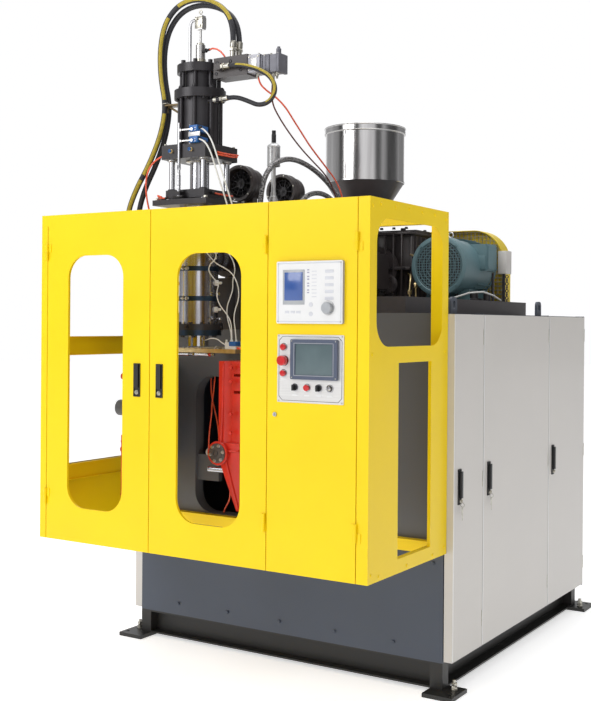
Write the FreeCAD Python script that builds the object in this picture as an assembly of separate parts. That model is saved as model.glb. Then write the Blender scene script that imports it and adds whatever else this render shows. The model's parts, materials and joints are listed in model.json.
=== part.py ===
"""Blow moulding machine: accumulator head over a two-platen clamp, fed by a belt-driven extruder.

Millimetres. +X is the operator's right, +Y runs from the operator to the back, +Z is up.
The origin is on the floor, at the centre of the four anchor holes in the foot plates.
"""
import FreeCAD, Part
import math
import os

os.makedirs("parts", exist_ok=True)

V = FreeCAD.Vector
X_AXIS = V(1, 0, 0)
Y_AXIS = V(0, 1, 0)
Z_AXIS = V(0, 0, 1)

# ---- driving dimensions -------------------------------------------------------------------------
# machine body and its base
body_width = 1674
body_length = 1772
body_top = 1640
base_height = 132
body_sheet = 5
foot_thickness = 18
foot_width = 140
foot_length = 160
anchor_hole_radius = 9
base_beam = 60
base_web = 8

# guard box in front of the body
guard_width = 1702
guard_depth = 707
guard_bottom = 607
guard_height = 1466
guard_sheet = 3
guard_door_depth = 30
seam_gap = 4
left_seam = -813
centre_seam = -212
control_seam = 391
right_seam = 799
window_radius = 100
middle_hinge = control_seam - 9
bracket_gap = 0.3
bracket_sheet = 1.7
hinge_offset = 7
hinge_radius = 6.5
hinge_pin_radius = 3
hinge_length = 72
running_clearance = 0.05

# clamp
clamp_centre = -212
clamp_open_gap = 441
clamp_stroke = 120
platen_front_depth = 200
platen_back_depth = 455
platen_top = 1426
platen_width = 110
platen_foot = 787
link_boss_height = 1030
link_boss_radius = 50
pillar_height = 921
pillar_radius = 14
guide_rod_radius = 16

# accumulator head
head_x = -220
head_depth = 352
platform_top = 2138
crosshead_thickness = 37
crosshead_size = 216
ram_stroke = 120
ram_rod_radius = 43.5
pillar_spacing = 176
head_pillar_radius = 13
block_bottom = 2322
block_top = 2386
block_size = 244
cylinder_mid = 2598
cylinder_top = 2752
die_bottom = 1485

# extruder and drive
extruder_height = 1890
extruder_base_top = 1720
screw_radius = 25
barrel_radius = 60
shroud_radius = 84
hopper_depth = 1907
hopper_radius = 224
hopper_top = 2702
hopper_shoulder = 2393
hopper_sheet = 3
throat_stand = 40
gearbox_front_depth = 2060
gearbox_back_depth = 2346
gearbox_left = -390
gearbox_right = -12
gearbox_top = 2140
motor_x = 250
motor_height = 1912
motor_front_depth = 1900
motor_back_depth = 2330
motor_radius = 155
fan_cover_radius = 164.5
pulley_front_depth = 2390
pulley_width = 60
gear_pulley_x = -100
gear_pulley_height = 1985
gear_pulley_radius = 105
motor_pulley_radius = 60
shaft_radius = 21
belt_thickness = 12
blower_radius = 86
blower_length = 105
blower_height = 2257
blower_depths = (658, 1029)
duct_half = 45
duct_start = 54

# cabinet on the right-hand side of the body
cabinet_face = 881
cabinet_gap = 4
cabinet_bottom = 139.5
cabinet_top = 1636
cabinet_splits = (0, 326, 1191, body_length)
cabinet_sheet = 2

# ---- places worked out from the driving dimensions ----------------------------------------------
body_half = body_width / 2
body_front = -body_length / 2
body_back = body_length / 2
guard_half = guard_width / 2
guard_front = body_front - guard_depth
guard_top = guard_bottom + guard_height
anchor_x = body_half + 53
anchor_y = body_back + 44
head_y = guard_front + head_depth
hopper_y = guard_front + hopper_depth


def depth(distance):
    """The Y of a point this far behind the guard's front face."""
    return guard_front + distance


# ---- solid helpers ------------------------------------------------------------------------------
def block(x0, x1, y0, y1, z0, z1):
    return Part.makeBox(x1 - x0, y1 - y0, z1 - z0, V(x0, y0, z0))


def cylinder(radius, start, end):
    line = V(*end) - V(*start)
    return Part.makeCylinder(radius, line.Length, V(*start), line)


def pipe(outer, inner, start, end):
    return cylinder(outer, start, end).cut(cylinder(inner, start, end))


def join(shapes):
    first = shapes[0]
    if len(shapes) > 1:
        first = first.multiFuse(shapes[1:])
    return first.removeSplitter()


def cut(shape, tools):
    for tool in tools:
        shape = shape.cut(tool)
    return shape


def group(shapes):
    return Part.makeCompound(shapes)


def rounded(shape, radius, along):
    """The block with its four edges parallel to one direction rounded."""
    edges = []
    for edge in shape.Edges:
        if abs(edge.tangentAt(edge.FirstParameter).dot(along)) > 0.999:
            edges.append(edge)
    return shape.makeFillet(radius, edges)


def profile(points, start, sweep):
    """A closed outline in a plane, swept along a vector; each point is already three numbers."""
    corners = [V(*point) + start for point in points]
    outline = Part.makePolygon(corners + [corners[0]])
    return Part.Face(outline).extrude(sweep)


def mirrored(shape, plane_x):
    return shape.mirror(V(plane_x, 0, 0), X_AXIS)


def save(name, shape):
    if shape.ShapeType == "Compound" and len(shape.Solids) == 1:
        shape = shape.Solids[0]
    shape.exportStep("parts/" + name + ".step")


# ---- base ---------------------------------------------------------------------------------------
def base_channel_x(y_outer, inward):
    """A channel along X with its web set back from the outer face by one beam width."""
    web_y = y_outer + inward * (base_beam - base_web)
    edge_y = y_outer
    length = body_half - base_beam / 2
    web = block(-length, length, min(web_y, web_y + inward * base_web),
                max(web_y, web_y + inward * base_web), foot_thickness, base_height)
    low = block(-length, length, min(edge_y, web_y), max(edge_y, web_y),
                foot_thickness, foot_thickness + base_web)
    high = block(-length, length, min(edge_y, web_y), max(edge_y, web_y),
                 base_height - base_web, base_height)
    return [web, low, high]


def base_channel_y(x_outer, inward):
    web_x = x_outer + inward * (base_beam - base_web)
    length = body_back - base_beam / 2
    web = block(min(web_x, web_x + inward * base_web), max(web_x, web_x + inward * base_web),
                -length, length, foot_thickness, base_height)
    low = block(min(x_outer, web_x), max(x_outer, web_x), -length, length,
                foot_thickness, foot_thickness + base_web)
    high = block(min(x_outer, web_x), max(x_outer, web_x), -length, length,
                 base_height - base_web, base_height)
    return [web, low, high]


def foot_plate(side_x, side_y):
    inner_x = side_x * (body_half - base_beam)
    outer_x = inner_x + side_x * foot_width
    inner_y = side_y * (body_back + foot_length / 2 - foot_length)
    outer_y = inner_y + side_y * foot_length
    plate = block(min(inner_x, outer_x), max(inner_x, outer_x),
                  min(inner_y, outer_y), max(inner_y, outer_y), 0, foot_thickness)
    hole_x = side_x * anchor_x
    hole_y = side_y * anchor_y
    hole = cylinder(anchor_hole_radius, (hole_x, hole_y, -1), (hole_x, hole_y, foot_thickness + 1))
    return plate.cut(hole)


def base_frame():
    pieces = []
    for side in (-1, 1):
        pieces += base_channel_x(side * body_back, -side)
        pieces += base_channel_y(side * body_half, -side)
        for end in (-1, 1):
            inner_x = side * (body_half - base_beam)
            inner_y = end * (body_back - base_beam)
            pieces.append(block(min(inner_x, side * body_half), max(inner_x, side * body_half),
                                min(inner_y, end * body_back), max(inner_y, end * body_back),
                                foot_thickness, base_height))
            pieces.append(foot_plate(side, end))
    for place in (-300, 300):
        pieces.append(block(-body_half + base_beam, body_half - base_beam, place - 40, place + 40,
                            foot_thickness + base_web, base_height))
    return join(pieces)


# ---- body ---------------------------------------------------------------------------------------
slot_half = 290
slot_bottom = 662
slot_top = 1328
slot_radius = 100
slot_reveal = 65
door_sill = 40
pivot_inset = 6
pivot_radius = 5
pivot_sheet = 4
lug_places = (881, 1964)
tube_bracket = (-376, 728, 756, 814, 940)


def wall_slot(margin, y0, y1):
    slot = block(clamp_centre - slot_half - margin, clamp_centre + slot_half + margin, y0, y1,
                 slot_bottom - margin, slot_top + margin)
    return rounded(slot, slot_radius + margin, Y_AXIS)


def cabinet_rows():
    """Front and back Y of each cabinet door."""
    rows = []
    for first, last in zip(cabinet_splits[:-1], cabinet_splits[1:]):
        rows.append((body_front + first + seam_gap / 2, body_front + last - seam_gap / 2))
    return rows


def pivot_place(row):
    return cabinet_face - pivot_inset, row[1] - pivot_inset


def pivot_brackets(row):
    pin_x, pin_y = pivot_place(row)
    low = cabinet_bottom - 1 - pivot_sheet
    high = cabinet_top + 1
    tip = pin_x + pivot_radius
    return [block(body_half - body_sheet, tip, pin_y - 8, pin_y + 5, low, low + pivot_sheet),
            block(body_half - body_sheet, tip, pin_y - 8, pin_y + 5, high, high + pivot_sheet),
            cylinder(pivot_radius, (pin_x, pin_y, low), (pin_x, pin_y, low + 12)),
            cylinder(pivot_radius, (pin_x, pin_y, high - 7), (pin_x, pin_y, high + pivot_sheet))]


def lifting_lug(x, y):
    plate = block(x - 6, x + 6, y - 32, y + 32, body_top, body_top + 74)
    plate = rounded(plate, 22, X_AXIS)
    foot = block(x - 6, x + 6, y - 32, y + 32, body_top, body_top + 30)
    eye = rounded(block(x - 9, x + 9, y - 12, y + 12, body_top + 22, body_top + 58), 11, X_AXIS)
    return plate.fuse(foot).cut(eye)


def body_housing():
    shell = block(-body_half, body_half, body_front, body_back, base_height, body_top)
    shell = shell.cut(block(-body_half + body_sheet, body_half - body_sheet,
                            body_front + body_sheet, body_back - body_sheet,
                            base_height + body_sheet, body_top - body_sheet))
    shell = shell.cut(wall_slot(0, body_front - 1, body_front + body_sheet + 1))
    for first, last in cabinet_rows():
        shell = shell.cut(block(body_half - body_sheet - 1, body_half + 1,
                                first + door_sill, last - door_sill,
                                cabinet_bottom + door_sill, cabinet_top - door_sill))
    reveal = wall_slot(4, body_front, body_front + slot_reveal)
    reveal = reveal.cut(wall_slot(0, body_front - 1, body_front + slot_reveal + 1))
    bracket = block(clamp_centre - slot_half - 2, tube_bracket[0], depth(tube_bracket[1]),
                    depth(tube_bracket[2]), tube_bracket[3], tube_bracket[4])
    pieces = [shell, reveal, bracket]
    for row in cabinet_rows():
        pieces += pivot_brackets(row)
    for place in lug_places:
        for side in (-1, 1):
            pieces.append(lifting_lug(side * (body_half - 42), depth(place)))
    return join(pieces)


def tray(x0, x1, y0, y1, z0, z1, sheet, open_side):
    """A folded sheet with a face and four edges, open towards one direction."""
    outer = block(x0, x1, y0, y1, z0, z1)
    low = [x0 + sheet, y0 + sheet, z0 + sheet]
    high = [x1 - sheet, y1 - sheet, z1 - sheet]
    for axis in range(3):
        if open_side[axis] > 0:
            high[axis] += 2 * sheet
        if open_side[axis] < 0:
            low[axis] -= 2 * sheet
    return outer.cut(block(low[0], high[0], low[1], high[1], low[2], high[2]))


def left_covers():
    covers = []
    for first, last in cabinet_rows():
        covers.append(tray(-cabinet_face, -body_half, first, last, cabinet_bottom, cabinet_top,
                           cabinet_sheet, (1, 0, 0)))
    return group(covers)


# ---- cabinet doors and their swing handles ------------------------------------------------------
handle_from_edge = 60
handle_bottom = 815
handle_top = 960
handle_width = 24
handle_grip = 14
handle_offset = 3
handle_pin = 1.5
handle_pin_inset = 3


def cabinet_door(row):
    door = tray(body_half + cabinet_gap, cabinet_face, row[0], row[1], cabinet_bottom, cabinet_top,
                cabinet_sheet, (-1, 0, 0))
    pin_x, pin_y = pivot_place(row)
    hole = cylinder(pivot_radius + 2 * running_clearance, (pin_x, pin_y, cabinet_bottom - 9),
                    (pin_x, pin_y, cabinet_top + 9))
    return door.cut(hole)


def cabinet_handle(row):
    """A flat grip that lifts out of its dish about a pin at its top end."""
    y = row[0] + handle_from_edge
    x0 = cabinet_face + handle_offset
    grip = block(x0, x0 + handle_grip, y - handle_width / 2 + 3, y + handle_width / 2 - 3,
                 handle_bottom + 26, handle_top - 4)
    pin = (x0 + handle_pin_inset, handle_top - 4 - handle_pin_inset)
    hole = cylinder(handle_pin, (pin[0], y - handle_width, pin[1]),
                    (pin[0], y + handle_width, pin[1]))
    return rounded(grip, 4, Z_AXIS).cut(hole)


# ---- guard --------------------------------------------------------------------------------------
post_depth = 54
rail_height = 50
side_post = 61
side_post_width = 52
barrel_gap = 8
left_post_width = guard_half + left_seam
right_post_width = guard_half - right_seam
side_window_margin = 56
side_window_bottom = 1503
side_window_top = guard_top - 73
panel_window = (245, 543)
panel_window_bottom = 663
panel_window_top = 1438
panel_return = 14
mid_rail = (1434, 1522)
low_rail = (850, 926)


def side_panel():
    """The right-hand side sheet with its two openings."""
    inner = guard_half - guard_sheet
    sheet = block(inner, guard_half, guard_front, body_front, guard_bottom, guard_top)
    upper = block(inner - 1, guard_half + 1, depth(side_window_margin),
                  depth(guard_depth - side_window_margin), side_window_bottom, side_window_top)
    upper = rounded(upper, window_radius, X_AXIS)
    first, last = panel_window
    lower = block(inner - 1, guard_half + 1, depth(first), depth(last),
                  panel_window_bottom, panel_window_top)
    hem = block(guard_half - panel_return, guard_half, depth(first) - guard_sheet,
                depth(last) + guard_sheet, panel_window_bottom - guard_sheet,
                panel_window_top + guard_sheet)
    hem = hem.cut(block(guard_half - panel_return - 1, guard_half + 1, depth(first), depth(last),
                        panel_window_bottom, panel_window_top))
    return cut(sheet, [upper, lower]).fuse(hem)


def guard_rail_y(side, z0, z1, reach):
    x0 = side * guard_half
    x1 = side * (guard_half - reach)
    return block(min(x0, x1), max(x0, x1), guard_front, body_front, z0, z1)


def guard_hinges(x, knuckle):
    """Barrels on the front face: 0 gives the frame's half with its pin, 1 gives the door's half."""
    y = guard_front - hinge_offset
    pieces = []
    for foot in (guard_bottom + 155, guard_top - 205):
        middle = foot + hinge_length / 2
        if knuckle == 0:
            pieces.append(cylinder(hinge_radius, (x, y, foot), (x, y, middle)))
            pieces.append(cylinder(hinge_pin_radius, (x, y, middle), (x, y, foot + hinge_length - 4)))
        else:
            pieces.append(pipe(hinge_radius, hinge_pin_radius + running_clearance,
                               (x, y, middle + 0.5), (x, y, foot + hinge_length)))
    return pieces


def hinge_leaf(x, side, knuckle):
    """Flat leaves that tie the barrels to the sheet on one side of the seam."""
    pieces = []
    for foot in (guard_bottom + 155, guard_top - 205):
        middle = foot + hinge_length / 2
        z0, z1 = (foot, middle) if knuckle == 0 else (middle + 0.5, foot + hinge_length)
        x0 = x + side * (hinge_pin_radius + 1)
        x1 = x + side * 22
        pieces.append(block(min(x0, x1), max(x0, x1), guard_front - 3, guard_front, z0, z1))
    return pieces


def guard_frame():
    bottom = guard_bottom
    top = guard_top
    back = body_front
    door_back = guard_front + guard_door_depth + 2
    pieces = [side_panel()]
    # corner posts; the front ones show between the doors and the corners
    pieces.append(block(-guard_half, -guard_half + left_post_width - seam_gap / 2,
                        guard_front, depth(post_depth), bottom, top))
    pieces.append(block(guard_half - right_post_width + seam_gap / 2, guard_half,
                        guard_front, depth(post_depth), bottom, top))
    for side in (-1, 1):
        x0 = side * guard_half
        x1 = side * (guard_half - side_post_width)
        pieces.append(block(min(x0, x1), max(x0, x1), back - side_post, back, bottom, top))
    # rails across the front and back, behind the doors
    for z0 in (bottom, top - rail_height):
        pieces.append(block(-guard_half, guard_half, door_back, door_back + 40, z0, z0 + rail_height))
        pieces.append(block(-guard_half, guard_half, back - 40, back, z0, z0 + rail_height))
    # side rails
    pieces.append(guard_rail_y(1, top - rail_height, top, 40))
    pieces.append(guard_rail_y(1, bottom, bottom + rail_height, 40))
    pieces.append(guard_rail_y(-1, top - rail_height, top, 40))
    pieces.append(guard_rail_y(-1, mid_rail[0], mid_rail[1], 30))
    pieces.append(guard_rail_y(-1, low_rail[0], low_rail[1], 30))
    pieces.append(guard_rail_y(-1, bottom, low_rail[0], guard_sheet))
    # the post between the middle door and the control door, clear of both
    pieces.append(block(control_seam - 20, control_seam + 20, door_back, door_back + 40, bottom, top))
    barrel_way = cylinder(shroud_radius + barrel_gap, (head_x, back - side_post - 1, extruder_height),
                          (head_x, back + 1, extruder_height))
    frame = join(pieces).cut(barrel_way)
    hinge_parts = []
    for seam, side in ((left_seam, -1), (right_seam, 1)):
        hinge_parts += guard_hinges(seam, 0) + hinge_leaf(seam, side, 0)
    # the middle door hangs from brackets that reach forward between the two doors
    hinge_parts += guard_hinges(middle_hinge, 0)
    left = control_seam - seam_gap / 2 + bracket_gap
    right = left + bracket_sheet
    for foot in (guard_bottom + 155, guard_top - 205):
        middle = foot + hinge_length / 2
        hinge_parts.append(block(middle_hinge + hinge_pin_radius + 1, right, guard_front - 3,
                                 guard_front, foot, middle))
        hinge_parts.append(block(left, right, guard_front - 3, door_back + 1, foot, middle))
    return join([frame] + hinge_parts)


def guard_door(x0, x1, window, hinge_x, side):
    """A folded door; side is +1 where the door lies to the right of its hinge."""
    door = tray(x0, x1, guard_front, guard_front + guard_door_depth, guard_bottom, guard_top,
                guard_sheet, (0, 1, 0))
    if window:
        left, right, low, high = window
        opening = rounded(block(left, right, guard_front - 1, guard_front + panel_return + 1,
                                low, high), window_radius, Y_AXIS)
        rim = rounded(block(left - guard_sheet, right + guard_sheet, guard_front,
                            guard_front + panel_return, low - guard_sheet, high + guard_sheet),
                      window_radius + guard_sheet, Y_AXIS)
        door = door.fuse(rim).cut(opening)
    return join([door] + guard_hinges(hinge_x, 1) + hinge_leaf(hinge_x, side, 1))


left_window = (-686, -362, guard_bottom + 151, guard_top - 187)
middle_window = (-67, 263, guard_bottom + 147, guard_top - 193)
flush_handle_x = (-280, -157)
flush_handle_bottom = 1271
flush_handle_top = 1414
flush_handle_width = 36
handle_knuckle = 3


def flush_handle(x):
    """The lever of a flush handle; it lifts about a pin at its top end."""
    lever = block(x - 11, x + 11, guard_front - 10, guard_front - 2.5,
                  flush_handle_bottom + 38, flush_handle_top - 6)
    pivot = (guard_front - 7, flush_handle_top - 6)
    knuckle = cylinder(handle_knuckle, (x - 11, *pivot), (x + 11, *pivot))
    return rounded(lever, 2.5, Z_AXIS).fuse(knuckle)


# ---- operator panels on the control door --------------------------------------------------------
panel_level = guard_top - 732
programmer = (442, 742, panel_level + 249, panel_level + 492)
programmer_proud = 14
programmer_box = 70
operator_plate = (442, 744, panel_level - 60, panel_level + 206)
operator_proud = 4
screen = (509, 721, panel_level + 32, panel_level + 188)
screen_proud = 12
screen_box = 45
fit_gap = 1
button_column = 472
button_rows = (panel_level + 157, panel_level + 104, panel_level + 54)
switch_row = panel_level
switch_columns = (525, 581, 634, 684)
stem_radius = 10.9
stem_hole = 11.1
cap_radius = 12.5
stop_cap_radius = 20
cap_start = 5
cap_height = 8
lock_place = (431, panel_level - 110)
knob_place = (678, panel_level + 310)
knob_radius = 22


def operator_places():
    places = [(button_column, z) for z in button_rows]
    places += [(x, switch_row) for x in switch_columns]
    return places


def control_door():
    door = guard_door(control_seam + seam_gap / 2, right_seam - seam_gap / 2, None,
                      right_seam, -1)
    holes = []
    x0, x1, z0, z1 = programmer
    holes.append(block(x0 + 15 - fit_gap, x1 - 15 + fit_gap, guard_front - 1, guard_front + 9,
                       z0 + 15 - fit_gap, z1 - 15 + fit_gap))
    x0, x1, z0, z1 = screen
    holes.append(block(x0 + 8 - fit_gap, x1 - 8 + fit_gap, guard_front - 1, guard_front + 9,
                       z0 + 8 - fit_gap, z1 - 8 + fit_gap))
    for x, z in operator_places():
        holes.append(cylinder(stem_hole + 1, (x, guard_front - 1, z), (x, guard_front + 9, z)))
    holes.append(cylinder(9 + 2 * running_clearance, (lock_place[0], guard_front - 1, lock_place[1]),
                          (lock_place[0], guard_front + 9, lock_place[1])))
    return cut(door, holes)


def programmer_panel():
    x0, x1, z0, z1 = programmer
    bezel = rounded(block(x0, x1, guard_front - programmer_proud, guard_front, z0, z1), 6, Y_AXIS)
    case = block(x0 + 15, x1 - 15, guard_front, guard_front + programmer_box, z0 + 15, z1 - 15)
    bore = cylinder(4 + running_clearance, (knob_place[0], guard_front - programmer_proud - 1,
                                            knob_place[1]),
                    (knob_place[0], guard_front - programmer_proud + 10, knob_place[1]))
    return bezel.fuse(case).cut(bore)


def programmer_knob():
    face = guard_front - programmer_proud
    x, z = knob_place
    grip = cylinder(knob_radius, (x, face - 18, z), (x, face - 1, z))
    grip = grip.makeFillet(3, [edge for edge in grip.Edges
                               if edge.Closed and abs(edge.CenterOfMass.y - (face - 18)) < 0.01])
    stem = cylinder(4, (x, face - 2, z), (x, face + 9, z))
    return grip.fuse(stem)


def operator_panel():
    x0, x1, z0, z1 = operator_plate
    plate = rounded(block(x0, x1, guard_front - operator_proud, guard_front, z0, z1), 4, Y_AXIS)
    sx0, sx1, sz0, sz1 = screen
    holes = [block(sx0 + 8 - fit_gap, sx1 - 8 + fit_gap, guard_front - 9, guard_front + 1,
                   sz0 + 8 - fit_gap, sz1 - 8 + fit_gap)]
    for x, z in operator_places():
        holes.append(cylinder(stem_hole, (x, guard_front - 9, z), (x, guard_front + 1, z)))
    return cut(plate, holes)


def operator_screen():
    x0, x1, z0, z1 = screen
    face = guard_front - operator_proud
    bezel = rounded(block(x0, x1, face - screen_proud, face, z0, z1), 5, Y_AXIS)
    glass = block(x0 + 22, x1 - 22, face - screen_proud - 1, face - screen_proud + 3,
                  z0 + 18, z1 - 18)
    case = block(x0 + 8, x1 - 8, face, guard_front + screen_box, z0 + 8, z1 - 8)
    return bezel.cut(glass).fuse(case)


def push_button(place, head_radius, head_height):
    x, z = place
    face = guard_front - operator_proud
    cap = cylinder(head_radius, (x, face - cap_start - head_height, z), (x, face - cap_start, z))
    cap = cap.makeFillet(min(4, head_height / 2.5),
                         [edge for edge in cap.Edges if edge.Closed and
                          abs(edge.CenterOfMass.y - (face - cap_start - head_height)) < 0.01])
    stem = cylinder(stem_radius, (x, face - cap_start, z), (x, guard_front + 26, z))
    return cap.fuse(stem)


def selector(place):
    x, z = place
    face = guard_front - operator_proud
    disc = cylinder(cap_radius, (x, face - 8, z), (x, face - 1, z))
    wing = rounded(block(x - 3.5, x + 3.5, face - 22, face - 7, z - 12, z + 12), 3, Y_AXIS)
    stem = cylinder(stem_radius, (x, face - 1, z), (x, guard_front + 26, z))
    return join([disc, wing, stem])


def toggle_lever(place):
    x, z = place
    face = guard_front - operator_proud
    ball = Part.makeSphere(8, V(x, face - 6, z))
    stick = Part.makeCone(2.2, 3.6, 20, V(x, face - 6, z), V(0, -1, 0))
    pin = cylinder(1, (x - 9, face - 6, z), (x + 9, face - 6, z))
    return ball.fuse(stick).cut(pin)


def guard_lock():
    x, z = lock_place
    barrel = cylinder(9, (x, guard_front - 6, z), (x, guard_front + 24, z))
    slit = block(x - 1, x + 1, guard_front - 7, guard_front - 3, z - 5, z + 5)
    cam = block(x - 12, x + 28, guard_front + 20, guard_front + 23, z - 7, z + 7)
    return barrel.cut(slit).fuse(cam)


# ---- clamp --------------------------------------------------------------------------------------
platen_face = clamp_centre + clamp_open_gap / 2
platen_outer = platen_face + platen_width
bracket_inner = platen_outer + 7
bracket_thickness = 30
bracket_outer = bracket_inner + 67
guide_heights = (pillar_height + 60, 1330)
guide_depth = 400
ram_height = 1180
clamp_ram_radius = 20
clamp_barrel_radius = 38
slot_mark_height = 12


def platen_body():
    """Right-hand casting in its open place; the left-hand one is its mirror image."""
    y0 = depth(platen_front_depth)
    y1 = depth(platen_back_depth)
    face = platen_face
    outer = platen_outer
    outline = [(face, 0, platen_top), (outer, 0, platen_top), (outer, 0, platen_foot),
               (outer - 14, 0, platen_foot), (face + 4, 0, link_boss_height - 32),
               (face, 0, link_boss_height - 20)]
    casting = profile(outline, V(0, y0, 0), V(0, y1 - y0, 0))
    hollow = block(face + 30, outer + 1, y0 + 36, y1 - 25, link_boss_height + 60, platen_top - 30)
    slope = profile([(face + 27, y0 - 1, 0), (face + 54, y0 + 22, 0), (outer + 1, y0 + 22, 0),
                     (outer + 1, y0 - 1, 0)], V(0, 0, link_boss_height + 45),
                    V(0, 0, platen_top - link_boss_height))
    marks = []
    for z in (1360, 1287):
        marks.append(block(face + 62, outer - 8, y0 - 1, y0 + 60, z, z + slot_mark_height))
    boss = cylinder(link_boss_radius, (face + 6, y0 - 14, link_boss_height),
                    (face + 6, y1, link_boss_height))
    boss = boss.common(block(face, outer, y0 - 20, y1 + 1, 0, platen_top).fuse(
        block(face - 60, outer, y0 - 20, y0 + 70, 0, platen_top)))
    casting = cut(casting, [hollow, slope] + marks)
    return join([casting, boss])


def guide_rods():
    """Rods fixed in the platen that slide through the bracket behind it."""
    rods = []
    for z in guide_heights:
        rods.append(cylinder(guide_rod_radius, (platen_outer - 24, depth(guide_depth), z),
                             (bracket_inner + bracket_thickness + clamp_stroke + 10,
                              depth(guide_depth), z)))
    return rods


def clamp_ram():
    return cylinder(clamp_ram_radius, (platen_outer - 24, depth(guide_depth), ram_height),
                    (bracket_inner + bracket_thickness + clamp_stroke + 14,
                     depth(guide_depth), ram_height))


def alignment_pillar():
    return cylinder(pillar_radius, (clamp_centre, depth(platen_back_depth - 25), pillar_height),
                    (platen_outer - 10, depth(platen_back_depth - 25), pillar_height))


def platen_right():
    return join([platen_body()] + guide_rods() + [clamp_ram(), alignment_pillar()])


def platen_left():
    casting = join([platen_body()] + guide_rods() + [clamp_ram()])
    bore = cylinder(pillar_radius + 1, (platen_face - 1, depth(platen_back_depth - 25),
                                        pillar_height),
                    (platen_outer + 1, depth(platen_back_depth - 25), pillar_height))
    return mirrored(casting.cut(bore), clamp_centre)


def clamp_bracket():
    y0 = depth(guide_depth - 60)
    y1 = depth(guide_depth + 80)
    z0 = guide_heights[0] - 70
    z1 = guide_heights[1] + 70
    plate = block(bracket_inner, bracket_inner + bracket_thickness, y0, y1, z0, z1)
    step = block(bracket_inner, bracket_outer + 40, y1 - 30, y1, z0, z1)
    arm = block(bracket_outer + 10, bracket_outer + 40, y1 - 30, body_front, z0, z1)
    y = depth(guide_depth)
    barrel_end = bracket_inner + bracket_thickness + clamp_stroke + 26
    barrel = cylinder(clamp_barrel_radius, (bracket_inner + bracket_thickness, y, ram_height),
                      (barrel_end, y, ram_height))
    bore = cylinder(clamp_barrel_radius - 8, (bracket_inner + bracket_thickness + 12, y, ram_height),
                    (barrel_end - 10, y, ram_height))
    holes = [bore]
    holes.append(cylinder(clamp_ram_radius + running_clearance, (bracket_inner - 1, y, ram_height),
                          (bracket_inner + bracket_thickness + 13, y, ram_height)))
    for z in guide_heights:
        holes.append(cylinder(guide_rod_radius + running_clearance, (bracket_inner - 1, y, z),
                              (bracket_inner + bracket_thickness + 1, y, z)))
    return cut(join([plate, step, arm, barrel]), holes)


def clamp_brackets():
    bracket = clamp_bracket()
    return group([bracket, mirrored(bracket, clamp_centre)])


# ---- accumulator head ---------------------------------------------------------------------------
platform_half = 150
platform_thickness = 24
support_post = 60
support_depth = 760
push_rod_radius = 10
push_rod_circle = 62
indicator_offset = (-15, -132)


def corner_places(spacing):
    places = []
    for side in (-1, 1):
        for end in (-1, 1):
            places.append((head_x + side * spacing / 2, head_y + end * spacing / 2))
    return places


def head_frame():
    """Platform on two posts that stand on the body, four pillars and the cylinder's base block."""
    y_post = depth(support_depth)
    platform = block(head_x - platform_half, head_x + platform_half, head_y - platform_half,
                     y_post + support_post, platform_top - platform_thickness, platform_top)
    holes = [cylinder(push_rod_radius + 1, (x, y, platform_top - 50), (x, y, platform_top + 1))
             for x, y in corner_places(push_rod_circle * 2 ** 0.5)]
    holes.append(block(head_x - duct_half - 4, head_x + duct_half + 4,
                       depth(blower_depths[0]) + 8, depth(blower_depths[0]) + blower_length,
                       platform_top - 50, platform_top + 1))
    platform = cut(platform, holes)
    pieces = [platform]
    for side in (-1, 1):
        x = head_x + side * (platform_half - support_post / 2)
        pieces.append(block(x - support_post / 2, x + support_post / 2, y_post,
                            y_post + support_post, body_top, platform_top - platform_thickness))
    base_block = block(head_x - block_size / 2, head_x + block_size / 2, head_y - block_size / 2,
                       head_y + block_size / 2, block_bottom, block_top)
    base_block = base_block.cut(cylinder(ram_rod_radius + running_clearance,
                                         (head_x, head_y, block_bottom - 1),
                                         (head_x, head_y, block_top + 1)))
    pieces.append(base_block)
    for x, y in corner_places(pillar_spacing):
        pieces.append(cylinder(head_pillar_radius, (x, y, platform_top), (x, y, block_bottom)))
    return join(pieces)


tie_rod_radius = 8
lower_tie_circle = 97
upper_tie_circle = 88
lower_barrel_radius = 88
upper_barrel_radius = 76
cylinder_bore = 60
flange_thickness = 38
eye_top = 2981
hose_port = (318, 2584)
switch_heights = (2394, 2443)
switch_lever_x = -158
switch_lever_reach = 62


def ring_places(count, radius, turn):
    places = []
    for index in range(count):
        angle = 2 * math.pi * (index + turn) / count
        places.append((head_x + radius * math.cos(angle), head_y + radius * math.sin(angle)))
    return places


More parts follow.
